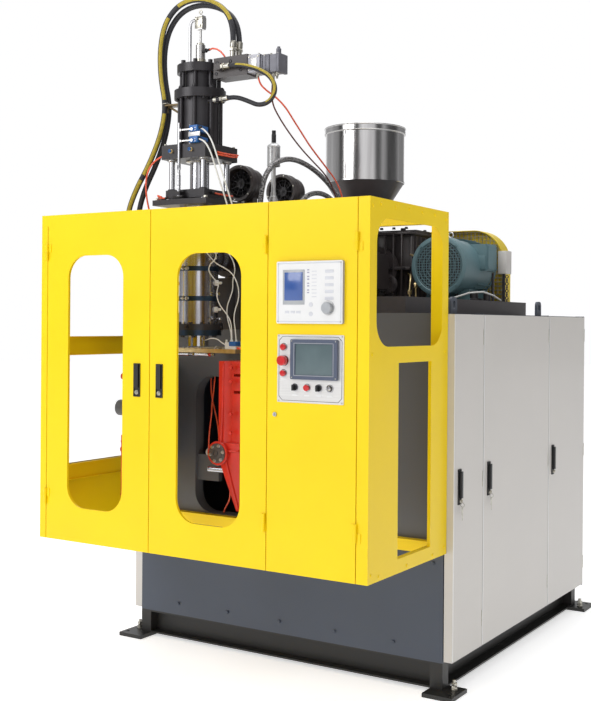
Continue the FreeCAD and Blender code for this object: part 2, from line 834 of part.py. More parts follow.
def ram_cylinder():
    x, y = head_x, head_y
    mid_top = cylinder_mid + flange_thickness + 2
    cap_low = cylinder_top - flange_thickness
    pieces = [cylinder(lower_barrel_radius, (x, y, block_top), (x, y, cylinder_mid)),
              cylinder(117, (x, y, cylinder_mid), (x, y, mid_top)),
              cylinder(upper_barrel_radius, (x, y, mid_top), (x, y, cap_low)),
              cylinder(105, (x, y, cap_low), (x, y, cylinder_top)),
              cylinder(21.5, (x, y, cylinder_top), (x, y, cylinder_top + 96)),
              cylinder(5, (x, y, cylinder_top + 96), (x, y, eye_top - 60)),
              block(x - 18, x + 18, y - 14, y + 14, eye_top - 62, eye_top),
              cylinder(13, (x + 60, depth(hose_port[0]), hose_port[1]),
                       (x + 140, depth(hose_port[0]), hose_port[1]))]
    for z in switch_heights:
        pieces.append(block(switch_lever_x - 14, switch_lever_x + 26, y - block_size / 2 - 14,
                            y - 60, z - 7, z + 15))
    for px, py in ring_places(8, lower_tie_circle, 0.5):
        pieces.append(cylinder(tie_rod_radius, (px, py, block_top), (px, py, cylinder_mid)))
        pieces.append(cylinder(11, (px, py, mid_top), (px, py, mid_top + 14)))
    for px, py in ring_places(8, upper_tie_circle, 0.5):
        pieces.append(cylinder(tie_rod_radius, (px, py, mid_top), (px, py, cap_low)))
        pieces.append(cylinder(10, (px, py, cylinder_top), (px, py, cylinder_top + 16)))
    bore = cylinder(cylinder_bore, (x, y, block_top - 1), (x, y, cap_low - 20))
    return join(pieces).cut(bore)


def crosshead_bottom():
    return platform_top + 9


def ram_rod():
    """Rod and piston; the piston stays inside the cylinder over the whole stroke."""
    low = crosshead_bottom() + crosshead_thickness
    rod = cylinder(ram_rod_radius, (head_x, head_y, low), (head_x, head_y, block_top + 40))
    piston = cylinder(cylinder_bore - running_clearance, (head_x, head_y, block_top + 30),
                      (head_x, head_y, block_top + 80))
    return rod.fuse(piston)


def crosshead():
    low = crosshead_bottom()
    high = low + crosshead_thickness
    half = crosshead_size / 2
    plate = block(head_x - half, head_x + half, head_y - half, head_y + half, low, high)
    holes = [cylinder(head_pillar_radius + 2 * running_clearance, (x, y, low - 1), (x, y, high + 1))
             for x, y in corner_places(pillar_spacing)]
    plate = cut(plate, holes)
    pieces = [plate]
    for x, y in corner_places(push_rod_circle * 2 ** 0.5):
        pieces.append(cylinder(push_rod_radius, (x, y, low - 60 - ram_stroke), (x, y, low)))
    x = head_x + indicator_offset[0]
    y = head_y + indicator_offset[1]
    pieces.append(block(x - 14, x + 14, y - 12, head_y - half + 1, low + 8, low + 26))
    pieces.append(cylinder(6.5, (x, y, low + 8), (x, y, block_bottom + 155)))
    return join(pieces)


die_shell_radius = 88
terminal_block = (-27, 32)
terminal_top = 1505
die_flange_radius = 112


def die_head():
    """Accumulator body with its bands, lower flange, nozzle and the inlet from the extruder."""
    top = platform_top - platform_thickness
    x, y = head_x, head_y
    pieces = [cylinder(die_shell_radius, (x, y, 1585), (x, y, top)),
              cylinder(die_flange_radius, (x, y, 1558), (x, y, 1585)),
              cylinder(die_flange_radius - 8, (x, y, 1533), (x, y, 1558)),
              cylinder(46, (x, y, die_bottom), (x, y, 1533))]
    for z in (1690, 1824, 1958):
        pieces.append(cylinder(die_shell_radius + 4, (x, y, z), (x, y, z + 18)))
    pieces.append(cylinder(barrel_radius, (x, y, extruder_height),
                           (x, y + die_shell_radius + 60, extruder_height)))
    body = join(pieces)
    holes = [cylinder(push_rod_radius + 1, (px, py, top - 70 - ram_stroke), (px, py, top + 1))
             for px, py in corner_places(push_rod_circle * 2 ** 0.5)]
    holes.append(pipe(28, 22, (x, y, die_bottom - 1), (x, y, die_bottom + 40)))
    return cut(body, holes)


def cutter_plate():
    """Two plates under the die with the openings that the parison drops through."""
    z0 = 1457
    z1 = 1475
    plate = block(head_x - 125, head_x + 150, head_y - 60, head_y + 330, z0, z1)
    hole = cylinder(48, (head_x, head_y, z0 - 1), (head_x, head_y, z1 + 1))
    stem = block(head_x - 40, head_x + 40, head_y + 290, body_front, z0, z1)
    left, right = terminal_block
    arm = block(head_x + 140, right, depth(286), depth(330), z0, z1)
    terminals = block(left, right, depth(290), depth(326), z1, terminal_top)
    return join([plate, stem, arm, terminals]).cut(hole)


manifold = (-112, 69, 90)
servo_valve_x = 227
manifold_bottom = 2676
fitting_height = 32


def servo_block():
    """Manifold bolted to the cylinder head, with the servo valve on its end."""
    left, right, height = manifold
    y0 = head_y - 46
    y1 = head_y + 46
    body = block(left, right, y0, y1, manifold_bottom, manifold_bottom + height)
    body = body.cut(cylinder(105.2, (head_x, head_y, manifold_bottom - 1),
                             (head_x, head_y, manifold_bottom + height + 1)))
    valve = block(right, right + 62, y0 + 6, y1 - 6, manifold_bottom + 8, manifold_bottom + 84)
    pilot = block(right + 62, servo_valve_x, y0 + 14, y1 - 14, manifold_bottom, manifold_bottom + 76)
    top = manifold_bottom + height
    for x, y in ((-35, depth(345)), (-25, depth(378))):
        body = body.fuse(cylinder(12.5, (x, y, top - 1), (x, y, top + fitting_height)))
    elbow = block(-83, -55, depth(276), y0 + 1, 2706, 2734)
    return group([body.fuse(elbow), valve, pilot])


def switch_lever(z):
    """A limit switch arm with its roller, pivoted on the switch head."""
    x = switch_lever_x
    y = head_y - block_size / 2 - 14
    hub = cylinder(7, (x, y - 8, z), (x, y - 2, z))
    arm = block(x - switch_lever_reach, x, y - 7, y - 3, z - 3, z + 3)
    roller = cylinder(6, (x - switch_lever_reach, y - 10, z), (x - switch_lever_reach, y - 3, z))
    return join([hub, arm, roller])


# ---- extruder -----------------------------------------------------------------------------------
shroud_start = 560
shroud_end = 1760
barrel_start = head_depth + 148


def extruder_base():
    left = -500
    right = 535
    front = depth(930)
    beam = 100
    frame = block(left, right, front, body_back, body_top, extruder_base_top)
    frame = frame.cut(block(left + beam, right - beam, front + beam, body_back - beam,
                            body_top - 1, extruder_base_top + 1))
    rails = []
    for x in (gearbox_left + 40, gearbox_right - 40, motor_x - 110, motor_x + 110):
        rails.append(block(x - 35, x + 35, front + beam - 1, body_back - beam + 1,
                           body_top, extruder_base_top))
    rails.append(block(gearbox_left + 40, gearbox_right - 40, hopper_y - throat_stand - 35,
                       hopper_y - throat_stand + 35, body_top, extruder_base_top))
    return join([frame] + rails)


def extruder_barrel():
    x = head_x
    z = extruder_height
    end = depth(gearbox_front_depth)
    pieces = [cylinder(barrel_radius, (x, depth(barrel_start), z), (x, end, z)),
              cylinder(shroud_radius, (x, depth(shroud_start), z), (x, depth(shroud_end), z))]
    throat = block(x - 100, x + 100, hopper_y - 110, hopper_y + 110, z - 100, z + 100)
    pieces.append(throat)
    for place in (1010, hopper_depth - throat_stand):
        foot = extruder_base_top
        if place < 1100:
            pieces.append(block(x - 110, x + 110, depth(place) - 20, depth(place) + 20,
                                foot, foot + 14))
        pieces.append(block(x - 30, x + 30, depth(place) - 20, depth(place) + 20, foot, z))
    bore = cylinder(screw_radius + running_clearance, (x, depth(barrel_start) - 1, z),
                    (x, end + 1, z))
    feed = cylinder(50, (x, hopper_y, z), (x, hopper_y, z + 101))
    return cut(join(pieces), [bore, feed])


def extruder_screw():
    return cylinder(screw_radius, (head_x, depth(barrel_start) + 30, extruder_height),
                    (head_x, depth(gearbox_front_depth) + 120, extruder_height))


def hopper():
    neck = 60
    slope = 0.64
    neck_top = hopper_shoulder - (hopper_radius - neck) / slope
    bottom = extruder_height + 100
    rim = hopper_radius + 7
    t = hopper_sheet
    outline = [(neck + 30, bottom), (neck + 30, bottom + 12), (neck, bottom + 12), (neck, neck_top),
               (hopper_radius, hopper_shoulder), (hopper_radius, hopper_top - 37),
               (rim, hopper_top - 37), (rim, hopper_top), (hopper_radius - t, hopper_top),
               (hopper_radius - t, hopper_shoulder + 1), (neck - t, neck_top + 1), (neck - t, bottom)]
    corners = [V(head_x + r, hopper_y, z) for r, z in outline]
    face = Part.Face(Part.makePolygon(corners + [corners[0]]))
    return face.revolve(V(head_x, hopper_y, 0), Z_AXIS, 360)


def gearbox():
    y0 = depth(gearbox_front_depth)
    y1 = depth(gearbox_back_depth)
    foot = extruder_base_top
    case = rounded(block(gearbox_left, gearbox_right, y0 + 60, y1, foot, gearbox_top - 14), 18,
                   Y_AXIS)
    top_cover = block(gearbox_left + 30, gearbox_right, y0 + 90, y1 - 10, gearbox_top - 20,
                      gearbox_top)
    ledge = block(gearbox_left - 16, gearbox_right + 16, y0 + 52, y1 - 2, extruder_height - 12,
                  extruder_height + 12)
    shoe = block(gearbox_left - 20, gearbox_right + 20, y0 + 50, y1 - 4, foot, foot + 24)
    flange = cylinder(130, (head_x, y0, extruder_height + 20), (head_x, y0 + 30, extruder_height + 20))
    collar = cylinder(95, (head_x, y0 + 30, extruder_height + 20), (head_x, y0 + 61, extruder_height + 20))
    pieces = [case, top_cover, ledge, shoe, flange, collar]
    for index in range(5):
        x = gearbox_left + 40 + index * 75
        pieces.append(block(x - 6, x + 6, y0 + 44, y0 + 61, foot, extruder_height - 12))
    body = join(pieces)
    holes = [cylinder(screw_radius + running_clearance, (head_x, y0 - 1, extruder_height),
                      (head_x, y0 + 130, extruder_height)),
             cylinder(shaft_radius + running_clearance, (gear_pulley_x, y1 - 100, gear_pulley_height),
                      (gear_pulley_x, y1 + 1, gear_pulley_height))]
    return cut(body, holes)


def pulley(x, z, radius, shaft_start):
    y0 = depth(pulley_front_depth)
    y1 = y0 + pulley_width
    wheel = cylinder(radius, (x, y0, z), (x, y1, z))
    rims = [pipe(radius + 6, radius - 4, (x, y0 - 3, z), (x, y0, z)),
            pipe(radius + 6, radius - 4, (x, y1, z), (x, y1 + 3, z))]
    shaft = cylinder(shaft_radius, (x, shaft_start, z), (x, y1 + 8, z))
    return join([wheel, shaft] + rims)


def gearbox_pulley():
    return pulley(gear_pulley_x, gear_pulley_height, gear_pulley_radius,
                  depth(gearbox_back_depth) - 98)


def motor():
    x = motor_x
    z = motor_height
    y0 = depth(motor_front_depth)
    y1 = depth(motor_back_depth)
    cover_end = y0 + 92
    pieces = [cylinder(fan_cover_radius, (x, y0, z), (x, cover_end, z)),
              cylinder(motor_radius, (x, cover_end, z), (x, y1 - 40, z)),
              cylinder(motor_radius - 12, (x, y1 - 40, z), (x, y1, z)),
              block(x + 60, x + 190, y1 - 210, y1 - 70, z - 20, z + 130)]
    foot = z - motor_radius - 20
    for place in (cover_end + 30, y1 - 110):
        pieces.append(block(x - 130, x + 130, place, place + 60, foot, z - motor_radius + 30))
    pieces.append(block(x - 140, x + 140, cover_end + 10, y1 - 30, extruder_base_top, foot))
    body = join(pieces)
    holes = [cylinder(fan_cover_radius - 4, (x, y0 + 4, z), (x, cover_end - 12, z)),
             cylinder(motor_radius - 30, (x, cover_end + 12, z), (x, y1 - 60, z)),
             cylinder(shaft_radius + running_clearance, (x, cover_end - 20, z), (x, y1 + 1, z))]
    return cut(body, holes)


def motor_rotor():
    x = motor_x
    z = motor_height
    y0 = depth(motor_front_depth)
    cover_end = y0 + 92
    y1 = depth(motor_back_depth)
    wheel = pulley(x, z, motor_pulley_radius, y0 + 30)
    core = cylinder(motor_radius - 40, (x, cover_end + 40, z), (x, y1 - 90, z))
    fan = [cylinder(40, (x, y0 + 30, z), (x, y0 + 66, z))]
    for index in range(6):
        blade = block(x, x + fan_cover_radius - 24, y0 + 34, y0 + 62, z - 2, z + 2)
        blade.rotate(V(x, 0, z), Y_AXIS, 60 * index)
        fan.append(blade)
    return join([wheel, core] + fan)


def belt_loop(extra):
    """The area inside an open belt round the two pulleys, its radii grown by extra."""
    small = motor_pulley_radius + extra
    large = gear_pulley_radius + extra
    first = V(gear_pulley_x, 0, gear_pulley_height)
    second = V(motor_x, 0, motor_height)
    line = second - first
    heading = math.atan2(line.z, line.x)
    lean = math.acos((large - small) / line.Length)
    points = []
    for turn in (lean, -lean):
        angle = heading + turn
        way = V(math.cos(angle), 0, math.sin(angle))
        points.append((first + way * large, second + way * small))
    far = V(math.cos(heading), 0, math.sin(heading))
    edges = [Part.LineSegment(points[0][0], points[0][1]).toShape(),
             Part.Arc(points[0][1], second + far * small, points[1][1]).toShape(),
             Part.LineSegment(points[1][1], points[1][0]).toShape(),
             Part.Arc(points[1][0], first - far * large, points[0][0]).toShape()]
    return Part.Wire(edges)


def drive_belts():
    y0 = depth(pulley_front_depth) + 4
    width = pulley_width - 8
    outer = Part.Face(belt_loop(belt_thickness)).extrude(V(0, width, 0))
    inner = Part.Face(belt_loop(0.3)).extrude(V(0, width, 0))
    loop = outer.cut(inner)
    loop.translate(V(0, y0, 0))
    return loop


belt_guard_left = -300
belt_guard_right = 439
belt_guard_top = 2142
belt_guard_radius = 190
belt_guard_depth = 109


def belt_guard():
    """An arched strip standing on the extruder base, closed at the back by a screen."""
    y0 = body_back - belt_guard_depth
    outer = rounded(block(belt_guard_left, belt_guard_right, y0, body_back,
                          extruder_base_top - 300, belt_guard_top), belt_guard_radius, Y_AXIS)
    inner = rounded(block(belt_guard_left + 4, belt_guard_right - 4, y0 - 1, body_back - 3,
                          extruder_base_top - 296, belt_guard_top - 4), belt_guard_radius - 4,
                    Y_AXIS)
    below = block(belt_guard_left - 1, belt_guard_right + 1, y0 - 2, body_back + 1,
                  extruder_base_top - 301, extruder_base_top)
    return cut(outer, [inner, below])


def blower_housing(place):
    x = head_x
    z = blower_height
    y0 = depth(place)
    y1 = y0 + blower_length
    shell = join([cylinder(blower_radius, (x, y0, z), (x, y0 + 52, z)),
                  cylinder(blower_radius - 8, (x, y0 + 52, z), (x, y1, z)),
                  block(x - duct_half, x + duct_half, y0 + duct_start, y1 - 10, extruder_height + shroud_radius - 14,
                        z - blower_radius + 24)])
    barrel = cylinder(shroud_radius + 0.3, (x, y0 - 10, extruder_height),
                      (x, y1 + 10, extruder_height))
    bore = cylinder(blower_radius - 16, (x, y0 - 1, z), (x, y1 - 30, z))
    motor_bore = cylinder(8 + running_clearance, (x, y1 - 31, z), (x, y1 - 10, z))
    return cut(shell, [barrel, bore, motor_bore])


def blower_fan(place):
    x = head_x
    z = blower_height
    y0 = depth(place) + 20
    hub = cylinder(22, (x, y0, z), (x, y0 + 48, z))
    shaft = cylinder(8, (x, y0 + 48, z), (x, depth(place) + blower_length - 12, z))
    blades = []
    for index in range(9):
        blade = block(x + 18, x + blower_radius - 24, y0 + 6, y0 + 44, z - 1.5, z + 1.5)
        blade.rotate(V(x, 0, z), Y_AXIS, 40 * index)
        blades.append(blade)
    return join([hub, shaft] + blades)


def air_filter():
    """Silencer on its stand pipe, which stands on the barrel's shroud."""
    x = head_x + 30
    y = depth(915)
    pieces = [cylinder(11, (x, y, extruder_height + shroud_radius - 2), (x, y, 2366)),
              cylinder(32, (x, y, 2366), (x, y, 2466)),
              Part.makeCone(32, 12, 16, V(x, y, 2466), Z_AXIS),
              cylinder(10, (x, y, 2482), (x, y, 2544)),
              cylinder(24, (x, y, 2170), (x, y, 2206))]
    barrel = cylinder(shroud_radius + 0.3, (head_x, y - 60, extruder_height),
                      (head_x, y + 60, extruder_height))
    return join(pieces).cut(barrel)


# ---- what stands inside the body ----------------------------------------------------------------
def oil_unit():
    """Oil tank with its pump motor on top, behind the middle door."""
    floor = base_height + body_sheet
    tank = block(60, 720, -480, 220, floor, floor + 420)
    lid = block(50, 730, -490, 230, floor + 420, floor + 430)
    motor_body = cylinder(110, (300, -330, floor + 580), (300, 10, floor + 580))
    motor_foot = block(200, 400, -300, -30, floor + 430, floor + 500)
    pump = cylinder(60, (300, 10, floor + 580), (300, 150, floor + 580))
    filler = cylinder(40, (600, -380, floor + 430), (600, -380, floor + 500))
    cooler = block(480, 680, -200, 160, floor + 430, floor + 640)
    return join([tank, lid, motor_body, motor_foot, pump, filler, cooler])


def electrical_panel():
    """Mounting plate with contactors and drives, behind the rear door."""
    plate = block(560, 566, 360, 830, 250, 1500)
    pieces = [plate]
    for row in range(4):
        z = 360 + row * 270
        for column in range(4):
            y = 385 + column * 108
            pieces.append(block(566, 640, y, y + 84, z, z + 130))
    stays = [block(480, 562, y, y + 30, base_height + body_sheet, 1500) for y in (380, 780)]
    return join(pieces + stays)


# ---- hoses, cables and tubes that hang free -----------------------------------------------------
def bent_tube(points, radius, name):
    """Straight runs joined by tangent arcs, each as large as its two runs allow."""
    corners = [V(*point) for point in points]
    edges = []
    start = corners[0]
    radii = []
    length = 0.0
    for index in range(1, len(corners) - 1):
        here = corners[index]
        back = corners[index - 1] - here
        ahead = corners[index + 1] - here
        trim = 0.45 * min(back.Length, ahead.Length)
        turn = math.pi - back.getAngle(ahead)
        bend = trim / math.tan(turn / 2)
        first = here + V(back).normalize() * trim
        last = here + V(ahead).normalize() * trim
        inward = V(back).normalize() + V(ahead).normalize()
        inward.normalize()
        centre = here + inward * (bend / math.cos(turn / 2))
        middle = centre - inward * bend
        edges.append(Part.LineSegment(start, first).toShape())
        edges.append(Part.Arc(first, middle, last).toShape())
        length += (first - start).Length + bend * turn
        start = last
        radii.append(round(bend))
    edges.append(Part.LineSegment(start, corners[-1]).toShape())
    length += (corners[-1] - start).Length
    path = Part.Wire(edges)
    way = corners[1] - corners[0]
    ring = Part.Wire(Part.Circle(corners[0], way, radius).toShape())
    tube = path.makePipeShell([ring], True, True)
    expected = math.pi * radius ** 2 * length
    print(name, "length", round(length), "radii", radii,
          "volume ratio", round(tube.Volume / expected, 4))
    return tube


def route(places):
    """Route points given as X, depth behind the guard's front face and Z."""
    return [(x, depth(back), z) for x, back, z in places]


main_hose_outer = [
    (-35, 345, 2800), (-28, 345, 2888), (-75, 345, 2995), (-205, 345, 3060), (-335, 345, 3055),
    (-420, 345, 2980), (-450, 345, 2865), (-445, 345, 2725), (-412, 345, 2590), (-440, 345, 2460),
    (-510, 345, 2325), (-600, 350, 2205), (-660, 362, 2090), (-668, 405, 1950), (-671, 450, 1800),
    (-672, 510, 1665), (-672, 600, 1590), (-672, 700, 1562)]
main_hose_inner = [
    (-25, 378, 2800), (-19, 378, 2885), (-70, 378, 2982), (-205, 378, 3042), (-332, 378, 3036),
    (-415, 378, 2968), (-452, 378, 2860), (-447, 378, 2720), (-414, 378, 2592), (-438, 378, 2455),
    (-495, 379, 2330), (-568, 381, 2215), (-618, 392, 2095), (-624, 425, 1960), (-627, 470, 1815),
    (-630, 535, 1690), (-631, 615, 1612), (-632, 700, 1584)]
short_hose = [
    (-54, 290, 2720), (10, 286, 2720), (85, 283, 2706), (152, 283, 2682), (212, 284, 2644),
    (236, 286, 2588), (204, 289, 2540), (142, 293, 2530), (84, 298, 2556), (20, 306, 2581),
    (-34, 314, 2586), (-79, 318, 2584)]
red_cable = [
    (95, 352, 2683), (100, 354, 2645), (128, 366, 2612), (158, 405, 2584), (166, 470, 2550),
    (152, 555, 2510), (136, 650, 2468), (121, 745, 2424), (109, 845, 2383), (99, 945, 2341),
    (90, 1040, 2300), (80, 1118, 2243), (73, 1163, 2168), (70, 1180, 2080), (74, 1186, 1985),
    (78, 1187, 1890), (81, 1190, 1800), (80, 1191, 1722), (78, 1190, 1642)]
dark_cable = [
    (176, 352, 2674), (174, 350, 2634), (160, 366, 2592), (140, 405, 2552), (128, 470, 2514),
    (116, 545, 2478), (104, 625, 2444), (93, 705, 2413), (82, 790, 2385), (74, 875, 2357),
    (68, 960, 2328), (63, 1040, 2287), (60, 1098, 2225), (58, 1130, 2148), (55, 1144, 2060),
    (55, 1149, 1965), (52, 1151, 1870), (53, 1154, 1780), (51, 1155, 1705), (52, 1156, 1642)]
switch_cable_upper = [
    (-130, 230, 2450), (-98, 229, 2438), (-62, 232, 2386), (-38, 237, 2318), (-16, 243, 2250),
    (6, 250, 2182), (24, 262, 2112), (34, 290, 2040), (34, 335, 1975), (26, 392, 1915),
    (14, 455, 1855), (0, 520, 1795), (-12, 585, 1735), (-22, 648, 1675), (-28, 702, 1627)]
switch_cable_lower = [
    (-130, 223, 2399), (-99, 222, 2393), (-66, 230, 2337), (-48, 241, 2265), (-26, 248, 2198),
    (-4, 256, 2130), (10, 272, 2058), (12, 310, 1988), (6, 362, 1928), (-6, 422, 1868),
    (-20, 486, 1810), (-32, 552, 1752), (-44, 614, 1694), (-50, 664, 1640), (-52, 702, 1592)]
front_conduit = [
    (-104, 672, 2140), (-105, 680, 2225), (-105, 735, 2325), (-104, 840, 2385), (-100, 970, 2405),
    (-92, 1125, 2378), (-82, 1280, 2312), (-72, 1420, 2215), (-66, 1520, 2090), (-65, 1575, 1955),
    (-66, 1592, 1835), (-66, 1600, 1722)]
rear_conduit = [
    (-104, 962, 1722), (-104, 957, 1820), (-104, 955, 1930), (-105, 962, 2040), (-107, 992, 2140),
    (-108, 1055, 2215), (-109, 1150, 2256), (-110, 1270, 2264), (-112, 1385, 2230),
    (-112, 1470, 2150), (-113, 1512, 2045), (-112, 1530, 1935), (-110, 1536, 1825),
    (-111, 1540, 1725), (-110, 1541, 1642)]
block_tube = [
    (-343, 240, 2340), (-395, 238, 2324), (-440, 240, 2262), (-446, 246, 2180), (-438, 262, 2095),
    (-428, 300, 2010), (-424, 352, 1925), (-420, 412, 1835), (-418, 480, 1750), (-416, 560, 1672),
    (-415, 640, 1616), (-414, 705, 1592)]
slot_tube_left = [
    (-412, 742, 1325), (-416, 741, 1268), (-427, 741, 1205), (-431, 742, 1140), (-441, 741, 1068),
    (-448, 742, 1005), (-450, 744, 942)]
slot_tube_right = [
    (-446, 757, 1315), (-447, 756, 1264), (-436, 755, 1205), (-415, 755, 1140), (-398, 753, 1075),
    (-389, 750, 1008), (-388, 748, 942)]
slot_tube_low = [
    (-374, 742, 884), (-348, 742, 868), (-322, 742, 818), (-313, 742, 765), (-321, 742, 718),
    (-342, 742, 690), (-352, 742, 664)]
heater_wire_long = [
    (-144, 294, 1914), (-116, 299, 1881), (-82, 300, 1851), (-41, 300, 1834), (-2, 300, 1812),
    (24, 301, 1778), (38, 303, 1732), (32, 306, 1686), (12, 309, 1648), (4, 312, 1604),
    (14, 312, 1556), (20, 310, 1507)]
heater_wire_looped = [
    (-146, 296, 1946), (-107, 290, 1928), (-74, 288, 1898), (-82, 288, 1868), (-110, 288, 1852),
    (-121, 290, 1823), (-97, 292, 1790), (-62, 292, 1764), (-74, 291, 1732), (-72, 291, 1698),
    (-54, 293, 1662), (-20, 296, 1628), (0, 298, 1592), (3, 300, 1548), (4, 300, 1507)]
heater_wire_rear = [
    (-128, 352, 1935), (-92, 350, 1926), (-48, 344, 1900), (-14, 334, 1862), (2, 324, 1820),
    (-8, 318, 1780), (-4, 316, 1738), (-20, 316, 1700), (-38, 318, 1662), (-38, 320, 1618),
    (-24, 320, 1576), (-12, 318, 1540), (-12, 316, 1507)]
nozzle_wire = [
    (-172, 338, 1512), (-144, 314, 1515), (-108, 300, 1523), (-72, 298, 1519), (-46, 298, 1500),
    (-28, 304, 1492)]

cord_nodes = {
    "hydraulic_hoses": [(main_hose_outer, 12.5), (main_hose_inner, 12.5), (short_hose, 10)],
    "signal_cables": [(red_cable, 4), (dark_cable, 3.5), (switch_cable_upper, 3.5),
                      (switch_cable_lower, 3.5)],
    "conduits": [(front_conduit, 13), (rear_conduit, 13)],
    "air_tubes": [(block_tube, 4), (slot_tube_left, 4), (slot_tube_right, 4), (slot_tube_low, 4)],
    "heater_wires": [(heater_wire_long, 2.5), (heater_wire_looped, 2.5), (heater_wire_rear, 2.5),
                     (nozzle_wire, 2.5)],
}


def build():
    rows = cabinet_rows()
    save("base_frame", base_frame())
    save("body_housing", body_housing())
    save("left_covers", left_covers())
    save("extruder_base", extruder_base())
    save("guard_frame", guard_frame())
    save("oil_unit", oil_unit())
    save("electrical_panel", electrical_panel())
    half_gap = seam_gap / 2
    save("guard_door_left", guard_door(left_seam + half_gap, centre_seam - half_gap, left_window,
                                       left_seam, 1))
    save("guard_door_middle", guard_door(centre_seam + half_gap, control_seam - half_gap,
                                         middle_window, middle_hinge, -1))
    save("control_door", control_door())
    save("guard_handle_left", flush_handle(flush_handle_x[0]))
    save("guard_handle_right", flush_handle(flush_handle_x[1]))
    save("guard_lock", guard_lock())
    for name, row in zip(("front", "middle", "rear"), rows):
        save("cabinet_door_" + name, cabinet_door(row))
        save("cabinet_handle_" + name, cabinet_handle(row))
    save("programmer_panel", programmer_panel())
    save("programmer_knob", programmer_knob())
    save("operator_panel", operator_panel())
    save("operator_screen", operator_screen())
    column = button_column
    save("start_button", push_button((column, button_rows[0]), cap_radius, cap_height))
    save("emergency_stop", push_button((column, button_rows[1]), stop_cap_radius, 20))
    save("stop_button", push_button((column, button_rows[2]), cap_radius, cap_height))
    save("mode_selector", selector((switch_columns[0], switch_row)))
    save("lamp_button", push_button((switch_columns[1], switch_row), cap_radius, cap_height))
    save("heat_selector", selector((switch_columns[2], switch_row)))
    save("toggle_lever", toggle_lever((switch_columns[3], switch_row)))
    save("platen_left", platen_left())
    save("platen_right", platen_right())
    save("clamp_brackets", clamp_brackets())
    save("head_frame", head_frame())
    save("die_head", die_head())
    save("cutter_plate", cutter_plate())
    save("ram_cylinder", ram_cylinder())
    save("ram_crosshead", crosshead())
    save("ram_rod", ram_rod())
    save("servo_block", servo_block())
    save("switch_lever_lower", switch_lever(switch_heights[0]))
    save("switch_lever_upper", switch_lever(switch_heights[1]))
    save("extruder_barrel", extruder_barrel())
    save("extruder_screw", extruder_screw())
    save("hopper", hopper())
    save("gearbox", gearbox())
    save("gearbox_pulley", gearbox_pulley())
    save("motor", motor())
    save("motor_rotor", motor_rotor())
    save("drive_belts", drive_belts())
    save("belt_guard", belt_guard())
    save("blower_housings", group([blower_housing(place) for place in blower_depths]))
    save("blower_fan_front", blower_fan(blower_depths[0]))
    save("blower_fan_rear", blower_fan(blower_depths[1]))
    save("air_filter", air_filter())
    for name, cords in cord_nodes.items():
        save(name, group([bent_tube(route(places), radius, name) for places, radius in cords]))


build()
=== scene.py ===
"""Looks of the blow moulding machine: finishes, hoses, fastenings and fittings on its frame."""
import json
import math

import bmesh
import bpy
from mathutils import Matrix, Vector

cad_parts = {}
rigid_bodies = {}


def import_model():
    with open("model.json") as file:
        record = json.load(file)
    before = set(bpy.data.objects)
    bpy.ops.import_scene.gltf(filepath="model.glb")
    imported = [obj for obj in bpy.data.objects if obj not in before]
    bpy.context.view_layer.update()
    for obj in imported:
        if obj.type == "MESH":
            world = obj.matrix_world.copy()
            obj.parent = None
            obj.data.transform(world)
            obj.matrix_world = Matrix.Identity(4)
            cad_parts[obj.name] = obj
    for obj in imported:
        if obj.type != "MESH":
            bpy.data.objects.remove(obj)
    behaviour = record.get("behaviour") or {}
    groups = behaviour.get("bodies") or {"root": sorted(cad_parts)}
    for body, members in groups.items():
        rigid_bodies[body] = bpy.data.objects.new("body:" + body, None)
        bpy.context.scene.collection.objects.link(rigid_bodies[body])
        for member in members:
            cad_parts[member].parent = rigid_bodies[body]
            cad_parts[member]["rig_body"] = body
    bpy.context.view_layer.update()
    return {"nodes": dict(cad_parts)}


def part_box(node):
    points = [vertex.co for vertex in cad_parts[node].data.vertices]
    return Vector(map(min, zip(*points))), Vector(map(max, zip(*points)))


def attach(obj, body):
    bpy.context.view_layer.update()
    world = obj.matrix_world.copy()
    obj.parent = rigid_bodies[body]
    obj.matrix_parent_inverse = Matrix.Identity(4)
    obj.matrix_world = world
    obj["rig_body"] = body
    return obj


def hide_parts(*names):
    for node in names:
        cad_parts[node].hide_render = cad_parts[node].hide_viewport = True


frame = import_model()

# ---- places taken from the frame ----------------------------------------------------------------
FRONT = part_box("operator_panel")[1].y          # the guard's front plane
MM = 0.001
HEAD_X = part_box("ram_rod")[0].x / 2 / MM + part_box("ram_rod")[1].x / 2 / MM
HEAD_DEPTH = 352
PILLAR_REACH = 88                              # from the head's axis to the pillars
INDICATOR = (-235, 220)                        # the position indicator's rod
AIR_TUBE = 4                                   # radius
BLOWER_FRONTS, BLOWER_Z = (658, 1029), 2257
SILENCER = (-190, 915)
HOPPER_DEPTH, HOPPER_RADIUS = 1907, 224
BAND_FEET = (1690, 1824, 1958)                 # the lower edges of the heater bands
PIN_Z = 1030                                   # the platens' link pins
WINDOW_CORNER, EDGING = 100, 1.4
HANDLE_FOOT, HANDLE_TOP = 1271, 1414           # the guard doors' flush handles
CABINET_FOOT, CABINET_TOP = 812, 966           # the cabinet doors' handles
PUSH_X, START_Z, STOP_Z, EMERGENCY_Z = 472, 1498, 1395, 1445
ROW_Z = 1341                                   # selectors, lamp button and toggle
KNOB_X, KNOB_Z = 678, 1651
MOTOR_X, MOTOR_FRONT, MOTOR_Z = 250, 1900, 1912
FIN_COUNT, FIN_ENDS = 40, (240, 396)
BELT_CORNER, BELT_CORNER_Z = 182, 1952         # the round corners of the belt guard
BELT_CORNER_LOW_X, BELT_CORNER_HIGH_X, BELT_TOP, BELT_FOOT = -110, 249, 2134, 1724
X, Y, Z = Vector((1, 0, 0)), Vector((0, 1, 0)), Vector((0, 0, 1))
OUT, DOWN = -Y, -Z


def at(x, depth, z):
    """A point from X, depth behind the guard's front and height, all in millimetres."""
    return Vector((x * MM, FRONT + depth * MM, z * MM))


